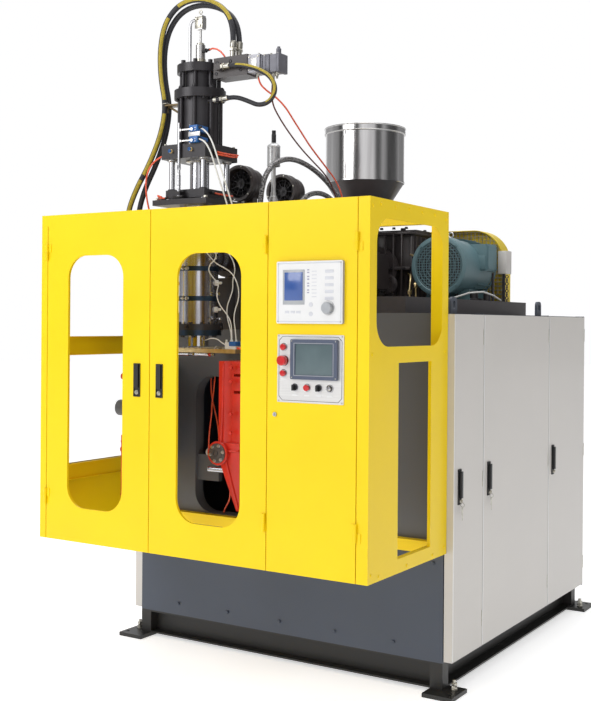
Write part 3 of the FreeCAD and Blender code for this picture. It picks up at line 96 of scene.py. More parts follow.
def paint(red, green, blue):
    """A screen colour from 0 to 255 as the linear colour that a shader takes."""
    linear = [(c / 255 / 12.92) if c <= 10 else ((c / 255 + 0.055) / 1.055) ** 2.4
              for c in (red, green, blue)]
    return (*linear, 1.0)


# ---- finishes -----------------------------------------------------------------------------------
def scaled(color, share):
    return (*[min(1.0, c * share) for c in color[:3]], 1.0)


def finish(name, color, roughness, metallic=0.0, variation=0.05, cloud=6.0, spread=0.08,
           bump=0.05, grain=700.0, stretch=(1, 1, 1), coat=0.0, tint=None, ior=1.5, edge=0.2):
    """A procedural finish: clouded colour, uneven gloss and a fine surface grain."""
    made = bpy.data.materials.new(name)
    made.use_nodes = True
    nodes, links = made.node_tree.nodes, made.node_tree.links
    shader = nodes["Principled BSDF"]
    shader.inputs["Metallic"].default_value = metallic
    shader.inputs["Coat Weight"].default_value = coat
    shader.inputs["Coat Roughness"].default_value = 0.12
    shader.inputs["IOR"].default_value = ior
    place = nodes.new("ShaderNodeTexCoord")
    mapping = nodes.new("ShaderNodeMapping")
    mapping.inputs["Scale"].default_value = stretch
    links.new(place.outputs["Object"], mapping.inputs["Vector"])
    clouds = nodes.new("ShaderNodeTexNoise")
    clouds.inputs["Scale"].default_value = cloud
    clouds.inputs["Detail"].default_value = 5
    links.new(mapping.outputs["Vector"], clouds.inputs["Vector"])
    ramp = nodes.new("ShaderNodeValToRGB")
    ramp.color_ramp.elements[0].position = 0.5 - edge
    ramp.color_ramp.elements[1].position = 0.5 + edge
    ramp.color_ramp.elements[0].color = scaled(tint or color, 1 - variation)
    ramp.color_ramp.elements[1].color = scaled(color, 1 + variation)
    links.new(clouds.outputs["Fac"], ramp.inputs["Fac"])
    links.new(ramp.outputs["Color"], shader.inputs["Base Color"])
    gloss = nodes.new("ShaderNodeMapRange")
    gloss.inputs["To Min"].default_value = max(0.02, roughness - spread)
    gloss.inputs["To Max"].default_value = min(1.0, roughness + spread)
    links.new(clouds.outputs["Fac"], gloss.inputs["Value"])
    links.new(gloss.outputs["Result"], shader.inputs["Roughness"])
    fine = nodes.new("ShaderNodeTexNoise")
    fine.inputs["Scale"].default_value = grain
    fine.inputs["Detail"].default_value = 2
    links.new(mapping.outputs["Vector"], fine.inputs["Vector"])
    relief = nodes.new("ShaderNodeBump")
    relief.inputs["Strength"].default_value = bump
    relief.inputs["Distance"].default_value = 0.001
    links.new(fine.outputs["Fac"], relief.inputs["Height"])
    links.new(relief.outputs["Normal"], shader.inputs["Normal"])
    return made


UP_GRAIN = (60, 60, 1.2)
ROUND_GRAIN = (2, 2, 90)
YELLOW = finish("yellow_paint", paint(246, 211, 2), 0.42, variation=0.03, cloud=2.5, bump=0.10,
                grain=420, coat=0.08, spread=0.05, ior=1.38)
BODY = finish("body_paint", paint(66, 73, 86), 0.42, variation=0.06, cloud=3, bump=0.10, grain=420)


def lighten_wall(made, share):
    """A lighter grey on the front wall above the guard's foot."""
    nodes, links = made.node_tree.nodes, made.node_tree.links
    shader = nodes["Principled BSDF"]
    source = shader.inputs["Base Color"].links[0].from_socket
    place = nodes.new("ShaderNodeTexCoord")
    split = nodes.new("ShaderNodeSeparateXYZ")
    links.new(place.outputs["Object"], split.inputs["Vector"])
    height = nodes.new("ShaderNodeMapRange")
    height.inputs["From Min"].default_value = 0.60
    height.inputs["From Max"].default_value = 0.62
    links.new(split.outputs["Z"], height.inputs["Value"])
    front = nodes.new("ShaderNodeMapRange")
    front.inputs["From Min"].default_value = -0.80
    front.inputs["From Max"].default_value = -0.82
    links.new(split.outputs["Y"], front.inputs["Value"])
    both = nodes.new("ShaderNodeMath")
    both.operation = "MULTIPLY"
    links.new(height.outputs["Result"], both.inputs[0])
    links.new(front.outputs["Result"], both.inputs[1])
    mix = nodes.new("ShaderNodeMix")
    mix.data_type = "RGBA"
    links.new(both.outputs["Value"], mix.inputs["Factor"])
    links.new(source, mix.inputs[6])
    mix.inputs[7].default_value = share
    links.new(mix.outputs[2], shader.inputs["Base Color"])


lighten_wall(BODY, paint(92, 94, 97))
BASE = finish("base_paint", paint(34, 33, 31), 0.45, variation=0.15, cloud=9, bump=0.2, grain=300)
COVER = finish("cover_paint", paint(203, 199, 194), 0.40, variation=0.025, cloud=2, bump=0.08,
               grain=420, coat=0.15)
DARK = finish("drive_paint", paint(62, 56, 56), 0.40, variation=0.18, cloud=11, bump=0.22,
              grain=260)
IRON = finish("blackened_steel", paint(50, 48, 51), 0.36, metallic=0.35, variation=0.16, cloud=14,
              bump=0.15, grain=380)
RED = finish("clamp_paint", paint(206, 44, 30), 0.30, variation=0.12, cloud=12, bump=0.45, grain=60,
             coat=0.35, ior=1.42)
TEAL = finish("motor_paint", paint(99, 128, 134), 0.45, variation=0.08, cloud=10, bump=0.25,
              grain=260)
CHROME = finish("chrome", (0.50, 0.50, 0.52, 1), 0.12, metallic=1.0, variation=0.06, cloud=8,
                bump=0.02, spread=0.04)
STEEL = finish("turned_steel", (0.56, 0.55, 0.54, 1), 0.30, metallic=1.0, variation=0.12, cloud=4,
               stretch=ROUND_GRAIN, bump=0.05)
# the dark tint clouds, stretched upright, are painted reflection streaks on the polished hopper
STAINLESS = finish("polished_stainless", (0.70, 0.69, 0.69, 1), 0.17, metallic=1.0, variation=0.10,
                   tint=(0.42, 0.41, 0.41, 1), cloud=1.5, stretch=(10, 10, 0.35), bump=0.03,
                   grain=240, spread=0.07)
# the dark brown tint in sharp upright streaks is a painted reflection, with painted highlight
# bands, on the chrome shell
SHELL = finish("heater_shell", (0.72, 0.75, 0.84, 1), 0.20, metallic=0.9, variation=0.08, cloud=2.2,
               stretch=(15, 15, 0.4), tint=(0.20, 0.17, 0.16, 1), bump=0.04, spread=0.06,
               edge=0.12)
BAND = finish("heater_band", paint(44, 62, 82), 0.34, metallic=0.7, variation=0.2, cloud=20)
ALUMINIUM = finish("cast_aluminium", (0.58, 0.58, 0.58, 1), 0.42, metallic=0.9, variation=0.1,
                   cloud=25, bump=0.25, grain=500)
PLATE = finish("brushed_plate", (0.72, 0.71, 0.70, 1), 0.36, metallic=0.55, variation=0.05, cloud=4,
               stretch=(1, 1, 70), bump=0.06)
BRASS = finish("brass", (0.74, 0.58, 0.30, 1), 0.32, metallic=0.9, variation=0.16, cloud=30,
               bump=0.12)
ZINC = finish("zinc_plate", (0.50, 0.48, 0.42, 1), 0.30, metallic=0.95, variation=0.22, cloud=60)
BLACK = finish("black_plastic", paint(26, 26, 28), 0.42, variation=0.10, cloud=30, bump=0.3,
               grain=900)
RUBBER = finish("hose_rubber", paint(40, 40, 45), 0.55, variation=0.15, cloud=25, bump=0.5,
                grain=500)
STRIPE = finish("hose_stripe", paint(170, 150, 40), 0.55, variation=0.16, cloud=60, bump=0.2)
WEAVE = finish("steel_braid", (0.34, 0.33, 0.33, 1), 0.40, metallic=0.5, variation=0.10, cloud=190,
               tint=(0.020, 0.018, 0.020, 1), edge=0.05, bump=1.0, grain=330)
TAN = finish("tan_bracket", paint(122, 104, 74), 0.42, metallic=0.4, variation=0.12, cloud=30)
VALVE = finish("valve_grey", paint(172, 172, 180), 0.42, metallic=0.15, variation=0.08, cloud=25,
               bump=0.15)
PILOT = finish("pilot_grey", paint(104, 104, 112), 0.40, metallic=0.3, variation=0.14, cloud=25,
               bump=0.15)
CAP = finish("dark_steel", (0.13, 0.12, 0.12, 1), 0.34, metallic=0.7, variation=0.10, cloud=60)
BEZEL = finish("bezel_plastic", paint(78, 86, 106), 0.38, variation=0.04, cloud=20, bump=0.15)
CASE = finish("case_plastic", paint(160, 160, 178), 0.42, variation=0.03, cloud=20, bump=0.12)
FAINT = finish("membrane_key", paint(205, 206, 212), 0.45, variation=0.03, cloud=50)
ORANGE = finish("orange_tube", paint(238, 92, 56), 0.28, variation=0.05, cloud=30, coat=0.4)
SIGNAL = finish("dark_cable", paint(92, 46, 42), 0.45, variation=0.10, cloud=40)
WHITE = finish("white_cable", paint(226, 226, 222), 0.45, variation=0.04, cloud=40)
PANEL = finish("panel_plastic", paint(226, 226, 226), 0.40, variation=0.02, cloud=15, bump=0.12)
KNOB = finish("grey_knob", paint(165, 168, 172), 0.35, variation=0.05, cloud=40)
GLASS = finish("screen_glass", paint(92, 108, 112), 0.10, variation=0.12, cloud=9, coat=0.6,
               bump=0.0)
BLUE_GLASS = finish("lit_display", paint(58, 88, 152), 0.16, variation=0.08, cloud=12, coat=0.6,
                    bump=0.0)
BUTTON = finish("red_button", paint(196, 26, 30), 0.22, variation=0.06, cloud=60, coat=0.5)
SWITCH_BLUE = finish("blue_plastic", paint(28, 92, 160), 0.34, variation=0.08, cloud=60)
BELT = finish("belt_rubber", paint(34, 34, 36), 0.62, variation=0.2, cloud=40, bump=0.5, grain=300)

# finish and the CAD nodes that take it
NODE_FINISHES = (
    (BASE, "base_frame"),
    (BODY, "body_housing oil_unit clamp_brackets"),
    (COVER, "left_covers cabinet_door_front cabinet_door_middle cabinet_door_rear"),
    (DARK, "extruder_base servo_block extruder_barrel gearbox gearbox_pulley blower_housings"),
    (YELLOW, "guard_frame guard_door_left guard_door_middle control_door"),
    (PLATE, "electrical_panel operator_panel"),
    (BLACK, "guard_handle_left guard_handle_right cabinet_handle_front "
            "cabinet_handle_middle cabinet_handle_rear mode_selector heat_selector"),
    (CHROME, "guard_lock toggle_lever ram_rod"),
    (PANEL, "programmer_panel"),
    (KNOB, "programmer_knob"),
    (BEZEL, "operator_screen"),
    (BUTTON, "start_button emergency_stop stop_button lamp_button"),
    (RED, "platen_left platen_right"),
    (IRON, "head_frame ram_cylinder ram_crosshead blower_fan_front blower_fan_rear"),
    (SHELL, "die_head"),
    (BRASS, "cutter_plate"),
    (STEEL, "switch_lever_lower switch_lever_upper extruder_screw motor_rotor"),
    (STAINLESS, "hopper"),
    (TEAL, "motor"),
    (BELT, "drive_belts"),
    (ALUMINIUM, "air_filter"),
)


def finish_frame():
    for made, nodes in NODE_FINISHES:
        for node in nodes.split():
            mesh = frame["nodes"][node].data
            mesh.materials.clear()
            mesh.materials.append(made)


def repaint(node, made, test):
    """A second finish on the faces of a node whose middle (X, depth, Z in mm) passes the test."""
    mesh = frame["nodes"][node].data
    mesh.materials.append(made)
    slot = len(mesh.materials) - 1
    for face in mesh.polygons:
        middle = face.center
        if test(middle.x / MM, (middle.y - FRONT) / MM, middle.z / MM, face.normal):
            face.material_index = slot


def around(x, depth, px, py, radius):
    """Whether a point lies within a radius of an upright axis, in millimetres."""
    return math.hypot(x - px, depth - py) <= radius


def pillar_places():
    """X and depth of the ram's four pillars."""
    return [(HEAD_X + sx * PILLAR_REACH, HEAD_DEPTH + sy * PILLAR_REACH)
            for sx in (-1, 1) for sy in (-1, 1)]


def part_finishes():
    """Finishes of areas within one CAD node."""
    repaint("head_frame", CHROME, lambda x, d, z, n: 2139 < z < 2321 and any(
        around(x, d, px, py, 16) for px, py in pillar_places()))
    repaint("die_head", BAND, lambda x, d, z, n: any(
        low - 0.5 < z < low + 18.5 for low in BAND_FEET)
        and 88.5 < math.hypot(x - HEAD_X, d - HEAD_DEPTH) < 94)
    repaint("die_head", IRON, lambda x, d, z, n: 1557 < z < 1586 and math.hypot(
        x - HEAD_X, d - HEAD_DEPTH) > 86)
    repaint("die_head", BAND, lambda x, d, z, n: 1532 < z < 1557.5)
    repaint("die_head", CHROME, lambda x, d, z, n: z < 1532.5)
    repaint("servo_block", VALVE, lambda x, d, z, n: 69.5 < x < 130.5)
    repaint("servo_block", PILOT, lambda x, d, z, n: x > 130.6)
    repaint("ram_crosshead", CHROME, lambda x, d, z, n: around(x, d, *INDICATOR, 8) and z > 2190)
    repaint("programmer_panel", CASE, lambda x, d, z, n: n.y > -0.9)
    repaint("servo_block", ZINC, lambda x, d, z, n: z > 2767)
    repaint("ram_cylinder", STEEL, lambda x, d, z, n: z > 2754 and around(
        x, d, HEAD_X, HEAD_DEPTH, 24))
    repaint("hopper", DARK, lambda x, d, z, n: z < 2392)
    repaint("air_filter", BLACK, lambda x, d, z, n: z > 2483)
    for node in ("platen_left", "platen_right"):
        repaint(node, CHROME, lambda x, d, z, n: 415 < d < 445 and 906 < z < 936
                and abs(n.x) < 0.2 and -440 < x < 20)
    repaint("operator_screen", GLASS, lambda x, d, z, n: 530 < x < 700 and 1390 < z < 1512
            and n.y < -0.9)
    repaint("cutter_plate", WHITE, lambda x, d, z, n: z > 1477 and -30 < x < 35 and d < 330)


# ---- mesh building ------------------------------------------------------------------------------
SHARP_ANGLE = 35        # degrees between faces above which an edge stays sharp


def disc(radius, height):
    """The outline of a plain round disc, for Shape.turned."""
    return [(0, 0), (radius, 0), (radius, height), (0, height)]


def band(inner, outer, height):
    """The outline of a plain ring, for Shape.turned."""
    return [(inner, 0), (outer, 0), (outer, height), (inner, height)]


def upright(angle):
    """A unit vector in the upright plane that faces the guard's front."""
    return Vector((math.cos(angle), 0, math.sin(angle)))


def level_way(angle):
    """A unit vector in the level plane."""
    return Vector((math.cos(angle), math.sin(angle), 0))


class Shape:
    """Collects the faces of one piece."""

    def __init__(self):
        self.bm = bmesh.new()

    def block(self, low, high, bevel=0.0):
        """A block with softened edges; the corners are points, and the bevel is in millimetres."""
        size = high - low
        place = Matrix.Translation((low + high) / 2) @ Matrix.Diagonal((*size, 1))
        made = bmesh.ops.create_cube(self.bm, size=1, matrix=place)
        if bevel:
            edges = list(dict.fromkeys(e for v in made["verts"] for e in v.link_edges))
            bmesh.ops.bevel(self.bm, geom=edges, offset=bevel * MM, segments=2,
                            affect="EDGES", profile=0.5)
        return self

    def turned(self, start, axis, outline, segments=28, turn=0.0):
        """A body of revolution; the outline is radius and distance along the axis, millimetres."""
        way = Z.rotation_difference(axis.normalized())
        rings = []
        for radius, along in outline:
            ring = []
            if radius <= 0:
                ring.append(self.bm.verts.new(start + way @ Vector((0, 0, along * MM))))
            else:
                for index in range(segments):
                    angle = 2 * math.pi * index / segments + turn
                    point = Vector((radius * math.cos(angle), radius * math.sin(angle), along))
                    ring.append(self.bm.verts.new(start + way @ (point * MM)))
            rings.append(ring)
        for low, high in zip(rings[:-1], rings[1:]):
            for index in range(segments):
                after = (index + 1) % segments
                corners = [low[index % len(low)], low[after % len(low)],
                           high[after % len(high)], high[index % len(high)]]
                unique = list(dict.fromkeys(corners))
                if len(unique) > 2:
                    self.bm.faces.new(unique)
        return self

    def rod(self, start, end, radius, segments=16):
        length = (end - start).length / MM
        soft = min(radius * 0.2, length * 0.2)
        return self.turned(start, end - start,
                           [(0, 0), (radius - soft, 0), (radius, soft), (radius, length - soft),
                            (radius - soft, length), (0, length)], segments)

    def hexagon(self, start, axis, across, height):
        radius = across / 2 / math.cos(math.pi / 6)
        return self.turned(start, axis, [(0, 0), (radius, 0), (radius, height * 0.85),
                                         (radius * 0.9, height), (0, height)], 6)

    def bolt(self, start, axis, across, height):
        """A hexagon head on its washer."""
        self.turned(start, axis, disc(across * 0.68, height * 0.18), 20)
        return self.hexagon(start + axis * (height * 0.15 * MM), axis, across, height)

    def cap_screw(self, start, axis, radius, height):
        """A socket head with its hexagon hole."""
        return self.turned(start, axis, [(radius, 0), (radius, height * 0.88),
                                         (radius * 0.9, height), (radius * 0.55, height),
                                         (radius * 0.5, height * 0.5), (0, height * 0.5)], 18)

    def pipe(self, points, radius, segments=12):
        """A round rod or tube along a chain of points."""
        rings = []
        side = None
        for index, point in enumerate(points):
            before = points[max(index - 1, 0)]
            after = points[min(index + 1, len(points) - 1)]
            way = (after - before).normalized()
            if side is None:
                side = way.orthogonal().normalized()
            side = (side - way * side.dot(way)).normalized()
            other = way.cross(side)
            ring = []
            for step in range(segments):
                angle = 2 * math.pi * step / segments
                spoke = side * math.cos(angle) + other * math.sin(angle)
                ring.append(self.bm.verts.new(point + spoke * radius * MM))
            rings.append(ring)
        for low, high in zip(rings[:-1], rings[1:]):
            for step in range(segments):
                after = (step + 1) % segments
                self.bm.faces.new([low[step], low[after], high[after], high[step]])
        self.bm.faces.new(list(reversed(rings[0])))
        self.bm.faces.new(rings[-1])
        return self

    def ring(self, centre, axis, radius, thickness, segments=36):
        """A torus, as an eye or a rubber ring."""
        way = Z.rotation_difference(axis.normalized())
        loops = []
        for index in range(segments):
            angle = 2 * math.pi * index / segments
            out = level_way(angle)
            loop = []
            for step in range(10):
                turn = 2 * math.pi * step / 10
                point = out * (radius + thickness * math.cos(turn))
                point.z = thickness * math.sin(turn)
                loop.append(self.bm.verts.new(centre + way @ (point * MM)))
            loops.append(loop)
        for index in range(segments):
            here, ahead = loops[index], loops[(index + 1) % segments]
            for step in range(10):
                after = (step + 1) % 10
                self.bm.faces.new([here[step], ahead[step], ahead[after], here[after]])
        return self

    def strip(self, rows):
        """Quads between rows of points that all have the same count."""
        made = [[self.bm.verts.new(point) for point in row] for row in rows]
        for low, high in zip(made[:-1], made[1:]):
            for index in range(len(low) - 1):
                self.bm.faces.new([low[index], low[index + 1], high[index + 1], high[index]])
        return self

    def build(self, name, material, body="machine", slot=None):
        """The piece as an object that rides its body; its record slot is not used."""
        bmesh.ops.recalc_face_normals(self.bm, faces=self.bm.faces)
        mesh = bpy.data.meshes.new(name)
        self.bm.to_mesh(mesh)
        self.bm.free()
        mesh.polygons.foreach_set("use_smooth", [True] * len(mesh.polygons))
        mesh.set_sharp_from_angle(angle=math.radians(SHARP_ANGLE))
        mesh.materials.append(material)
        made = bpy.data.objects.new(name, mesh)
        bpy.context.scene.collection.objects.link(made)
        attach(made, body)
        return made


def ring_places(count, radius, turn=0.5, depth=HEAD_DEPTH, x=None):
    """X and depth of points round the head's axis."""
    middle = HEAD_X if x is None else x
    places = []
    for index in range(count):
        angle = 2 * math.pi * (index + turn) / count
        places.append((middle + radius * math.cos(angle), depth + radius * math.sin(angle)))
    return places


# ---- camera, floor and light --------------------------------------------------------------------
def set_camera():
    data = bpy.data.cameras.new("camera")
    data.sensor_width = 36
    data.lens = 57.09
    data.shift_y = -0.0390
    data.clip_end = 100
    eye = bpy.data.objects.new("camera", data)
    yaw = math.radians(32.2613)
    roll = math.radians(0.4390)
    ahead = Vector((-math.sin(yaw), math.cos(yaw), 0))
    level = level_way(yaw)
    right = level * math.cos(roll) + Z * math.sin(roll)
    up = Z * math.cos(roll) - level * math.sin(roll)
    turn = Matrix((right, up, -ahead)).transposed()
    eye.matrix_world = Matrix.Translation((2.8444, -5.2711, 1.59175)) @ turn.to_4x4()
    bpy.context.scene.collection.objects.link(eye)
    bpy.context.scene.camera = eye


def add_light(name, place, target, size, power, color=(1, 1, 1)):
    data = bpy.data.lights.new(name, "AREA")
    data.shape = "RECTANGLE"
    data.size, data.size_y = size
    data.energy = power
    data.color = color
    lamp = bpy.data.objects.new(name, data)
    lamp.location = place
    lamp.rotation_mode = "QUATERNION"
    lamp.rotation_quaternion = (Vector(target) - Vector(place)).to_track_quat("-Z", "Y")
    bpy.context.scene.collection.objects.link(lamp)


def set_stage():
    floor = Shape()
    floor.turned(Vector((0, 0, -0.0006)), Z, [(0, 0), (40000, 0)], 64)
    paper = finish("floor_paper", (0.93, 0.93, 0.93, 1), 0.8, variation=0.005, cloud=0.5, bump=0.0)
    glow = paper.node_tree.nodes["Principled BSDF"].inputs
    glow["Emission Color"].default_value = (1, 1, 1, 1)
    glow["Emission Strength"].default_value = 0.55
    made = floor.build("floor", paper)
    made.parent = None
    del made["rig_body"]
    world = bpy.data.worlds.new("studio")
    world.use_nodes = True
    nodes, links = world.node_tree.nodes, world.node_tree.links
    place = nodes.new("ShaderNodeTexCoord")
    split = nodes.new("ShaderNodeSeparateXYZ")
    links.new(place.outputs["Generated"], split.inputs["Vector"])
    turn = nodes.new("ShaderNodeMath")
    turn.operation = "ARCTAN2"
    links.new(split.outputs["Y"], turn.inputs[0])
    links.new(split.outputs["X"], turn.inputs[1])
    share = nodes.new("ShaderNodeMapRange")
    share.inputs["From Min"].default_value = -math.pi
    share.inputs["From Max"].default_value = math.pi
    links.new(turn.outputs["Value"], share.inputs["Value"])
    room = nodes.new("ShaderNodeValToRGB")
    stops = room.color_ramp.elements
    stops[0].position, stops[0].color = 0.0, (0.45, 0.45, 0.455, 1)
    stops[1].position, stops[1].color = 1.0, (0.45, 0.45, 0.455, 1)
    for spot, level in ((0.10, 0.40), (0.12, 0.07), (0.17, 0.07), (0.19, 0.95), (0.235, 0.95),
                        (0.25, 0.15), (0.275, 0.15), (0.29, 1.0), (0.40, 1.0), (0.42, 0.10),
                        (0.455, 0.10), (0.475, 0.50), (0.53, 0.06), (0.60, 0.06), (0.64, 0.32),
                        (0.76, 0.32), (0.785, 1.0), (0.895, 1.0), (0.92, 0.45)):
        stop = stops.new(spot)
        stop.color = (level, level, level * 1.01, 1)
    links.new(share.outputs["Result"], room.inputs["Fac"])
    links.new(room.outputs["Color"], nodes["Background"].inputs["Color"])
    nodes["Background"].inputs["Strength"].default_value = 1.0
    bpy.context.scene.world = world
    add_light("key", (-2.6, -6.5, 4.2), (-0.2, -0.6, 1.4), (3.5, 3.0), 150)
    add_light("top", (0.4, -0.5, 6.0), (0, 0, 1.5), (4.0, 4.0), 130)
    bpy.context.scene.view_settings.view_transform = "Standard"


# ---- hoses, cables and tubes --------------------------------------------------------------------
MAIN_HOSE_OUTER = [
    (-35, 345, 2800), (-28, 345, 2888), (-75, 345, 2995), (-205, 345, 3060), (-335, 345, 3055),
    (-420, 345, 2980), (-450, 345, 2865), (-445, 345, 2725), (-412, 345, 2590), (-440, 345, 2460),
    (-510, 345, 2325), (-600, 350, 2205), (-660, 362, 2090), (-668, 405, 1950), (-671, 450, 1800),
    (-672, 510, 1665), (-672, 600, 1590), (-672, 700, 1562)]
MAIN_HOSE_INNER = [
    (-25, 378, 2800), (-19, 378, 2885), (-70, 378, 2982), (-205, 378, 3042), (-332, 378, 3036),
    (-415, 378, 2968), (-452, 378, 2860), (-447, 378, 2720), (-414, 378, 2592), (-438, 378, 2455),
    (-495, 379, 2330), (-568, 381, 2215), (-618, 392, 2095), (-624, 425, 1960), (-627, 470, 1815),
    (-630, 535, 1690), (-631, 615, 1612), (-632, 700, 1584)]
SHORT_HOSE = [
    (-54, 290, 2720), (10, 286, 2720), (85, 283, 2706), (152, 283, 2682), (212, 284, 2644),
    (236, 286, 2588), (204, 289, 2540), (142, 293, 2530), (84, 298, 2556), (20, 306, 2581),
    (-34, 314, 2586), (-79, 318, 2584)]
RED_CABLE = [
    (95, 352, 2683), (100, 354, 2645), (128, 366, 2612), (158, 405, 2584), (166, 470, 2550),
    (152, 555, 2510), (136, 650, 2468), (121, 745, 2424), (109, 845, 2383), (99, 945, 2341),
    (90, 1040, 2300), (80, 1118, 2243), (73, 1163, 2168), (70, 1180, 2080), (74, 1186, 1985),
    (78, 1187, 1890), (81, 1190, 1800), (80, 1191, 1722), (78, 1190, 1642)]
DARK_CABLE = [
    (176, 352, 2674), (174, 350, 2634), (160, 366, 2592), (140, 405, 2552), (128, 470, 2514),
    (116, 545, 2478), (104, 625, 2444), (93, 705, 2413), (82, 790, 2385), (74, 875, 2357),
    (68, 960, 2328), (63, 1040, 2287), (60, 1098, 2225), (58, 1130, 2148), (55, 1144, 2060),
    (55, 1149, 1965), (52, 1151, 1870), (53, 1154, 1780), (51, 1155, 1705), (52, 1156, 1642)]
SWITCH_CABLE_UPPER = [
    (-130, 230, 2450), (-98, 229, 2438), (-62, 232, 2386), (-38, 237, 2318), (-16, 243, 2250),
    (6, 250, 2182), (24, 262, 2112), (34, 290, 2040), (34, 335, 1975), (26, 392, 1915),
    (14, 455, 1855), (0, 520, 1795), (-12, 585, 1735), (-22, 648, 1675), (-28, 702, 1627)]
SWITCH_CABLE_LOWER = [
    (-130, 223, 2399), (-99, 222, 2393), (-66, 230, 2337), (-48, 241, 2265), (-26, 248, 2198),
    (-4, 256, 2130), (10, 272, 2058), (12, 310, 1988), (6, 362, 1928), (-6, 422, 1868),
    (-20, 486, 1810), (-32, 552, 1752), (-44, 614, 1694), (-50, 664, 1640), (-52, 702, 1592)]
FRONT_CONDUIT = [
    (-104, 672, 2140), (-105, 680, 2225), (-105, 735, 2325), (-104, 840, 2385), (-100, 970, 2405),
    (-92, 1125, 2378), (-82, 1280, 2312), (-72, 1420, 2215), (-66, 1520, 2090), (-65, 1575, 1955),
    (-66, 1592, 1835), (-66, 1600, 1722)]
REAR_CONDUIT = [
    (-104, 962, 1722), (-104, 957, 1820), (-104, 955, 1930), (-105, 962, 2040), (-107, 992, 2140),
    (-108, 1055, 2215), (-109, 1150, 2256), (-110, 1270, 2264), (-112, 1385, 2230),
    (-112, 1470, 2150), (-113, 1512, 2045), (-112, 1530, 1935), (-110, 1536, 1825),
    (-111, 1540, 1725), (-110, 1541, 1642)]
BLOCK_TUBE = [
    (-343, 240, 2340), (-395, 238, 2324), (-440, 240, 2262), (-446, 246, 2180), (-438, 262, 2095),
    (-428, 300, 2010), (-424, 352, 1925), (-420, 412, 1835), (-418, 480, 1750), (-416, 560, 1672),
    (-415, 640, 1616), (-414, 705, 1592)]
SLOT_TUBE_LEFT = [
    (-412, 742, 1325), (-416, 741, 1268), (-427, 741, 1205), (-431, 742, 1140), (-441, 741, 1068),
    (-448, 742, 1005), (-450, 744, 942)]
SLOT_TUBE_RIGHT = [
    (-446, 757, 1315), (-447, 756, 1264), (-436, 755, 1205), (-415, 755, 1140), (-398, 753, 1075),
    (-389, 750, 1008), (-388, 748, 942)]
SLOT_TUBE_LOW = [
    (-374, 742, 884), (-348, 742, 868), (-322, 742, 818), (-313, 742, 765), (-321, 742, 718),
    (-342, 742, 690), (-352, 742, 664)]
HEATER_WIRE_LONG = [
    (-144, 294, 1914), (-116, 299, 1881), (-82, 300, 1851), (-41, 300, 1834), (-2, 300, 1812),
    (24, 301, 1778), (38, 303, 1732), (32, 306, 1686), (12, 309, 1648), (4, 312, 1604),
    (14, 312, 1556), (20, 310, 1507)]
HEATER_WIRE_LOOPED = [
    (-146, 296, 1946), (-107, 290, 1928), (-74, 288, 1898), (-82, 288, 1868), (-110, 288, 1852),
    (-121, 290, 1823), (-97, 292, 1790), (-62, 292, 1764), (-74, 291, 1732), (-72, 291, 1698),
    (-54, 293, 1662), (-20, 296, 1628), (0, 298, 1592), (3, 300, 1548), (4, 300, 1507)]
HEATER_WIRE_REAR = [
    (-128, 352, 1935), (-92, 350, 1926), (-48, 344, 1900), (-14, 334, 1862), (2, 324, 1820),
    (-8, 318, 1780), (-4, 316, 1738), (-20, 316, 1700), (-38, 318, 1662), (-38, 320, 1618),
    (-24, 320, 1576), (-12, 318, 1540), (-12, 316, 1507)]
NOZZLE_WIRE = [
    (-172, 338, 1512), (-144, 314, 1515), (-108, 300, 1523), (-72, 298, 1519), (-46, 298, 1500),
    (-28, 304, 1492)]

# kind: radius in millimetres, stiffness, finish, CAD node and record slot
CORD_KINDS = {
    "hose": (12.5, "medium", RUBBER, "hydraulic_hoses", "rubber_black"),
    "thin hose": (10, "medium", RUBBER, "hydraulic_hoses", "rubber_black"),
    "red cable": (4, "limp", ORANGE, "signal_cables", "tube_orange"),
    "dark cable": (3.5, "limp", SIGNAL, "signal_cables", "tube_orange"),
    "white cable": (3.5, "limp", WHITE, "signal_cables", "cable_white"),
    "conduit": (13, "medium", WEAVE, "conduits", "conduit_grey"),
    "air tube": (4, "medium", ORANGE, "air_tubes", "tube_orange"),
    "wire": (2.5, "limp", WHITE, "heater_wires", "cable_white"),
}
# name, kind, route and real length in metres
CORDS = [
    ("main_hose_outer", "hose", MAIN_HOSE_OUTER, 2.20),
    ("main_hose_inner", "hose", MAIN_HOSE_INNER, 2.12),
    ("short_hose", "thin hose", SHORT_HOSE, 0.68),
    ("red_cable", "red cable", RED_CABLE, 1.54),
    ("dark_cable", "dark cable", DARK_CABLE, 1.51),
    ("switch_cable_upper", "white cable", SWITCH_CABLE_UPPER, 1.05),
    ("switch_cable_lower", "white cable", SWITCH_CABLE_LOWER, 1.02),
    ("front_conduit", "conduit", FRONT_CONDUIT, 1.48),
    ("rear_conduit", "conduit", REAR_CONDUIT, 1.49),
    ("block_tube", "air tube", BLOCK_TUBE, 0.98),
    ("slot_tube_left", "air tube", SLOT_TUBE_LEFT, 0.385),
    ("slot_tube_right", "air tube", SLOT_TUBE_RIGHT, 0.38),
    ("slot_tube_low", "air tube", SLOT_TUBE_LOW, 0.245),
    ("heater_wire_long", "wire", HEATER_WIRE_LONG, 0.50),
    ("heater_wire_looped", "wire", HEATER_WIRE_LOOPED, 0.53),
    ("heater_wire_rear", "wire", HEATER_WIRE_REAR, 0.505),
    ("nozzle_wire", "wire", NOZZLE_WIRE, 0.163),
]


def curve_on(name, route, radius):
    data = bpy.data.curves.new(name, "CURVE")
    data.dimensions = "3D"
    data.bevel_depth = radius * MM
    data.bevel_resolution = 5
    data.resolution_u = 10
    data.use_fill_caps = True
    spline = data.splines.new("NURBS")
    spline.points.add(len(route) - 1)
    for point, place in zip(spline.points, route):
        point.co = (*at(*place), 1)
    spline.order_u = 3
    spline.use_endpoint_u = True
    return bpy.data.objects.new(name, data)


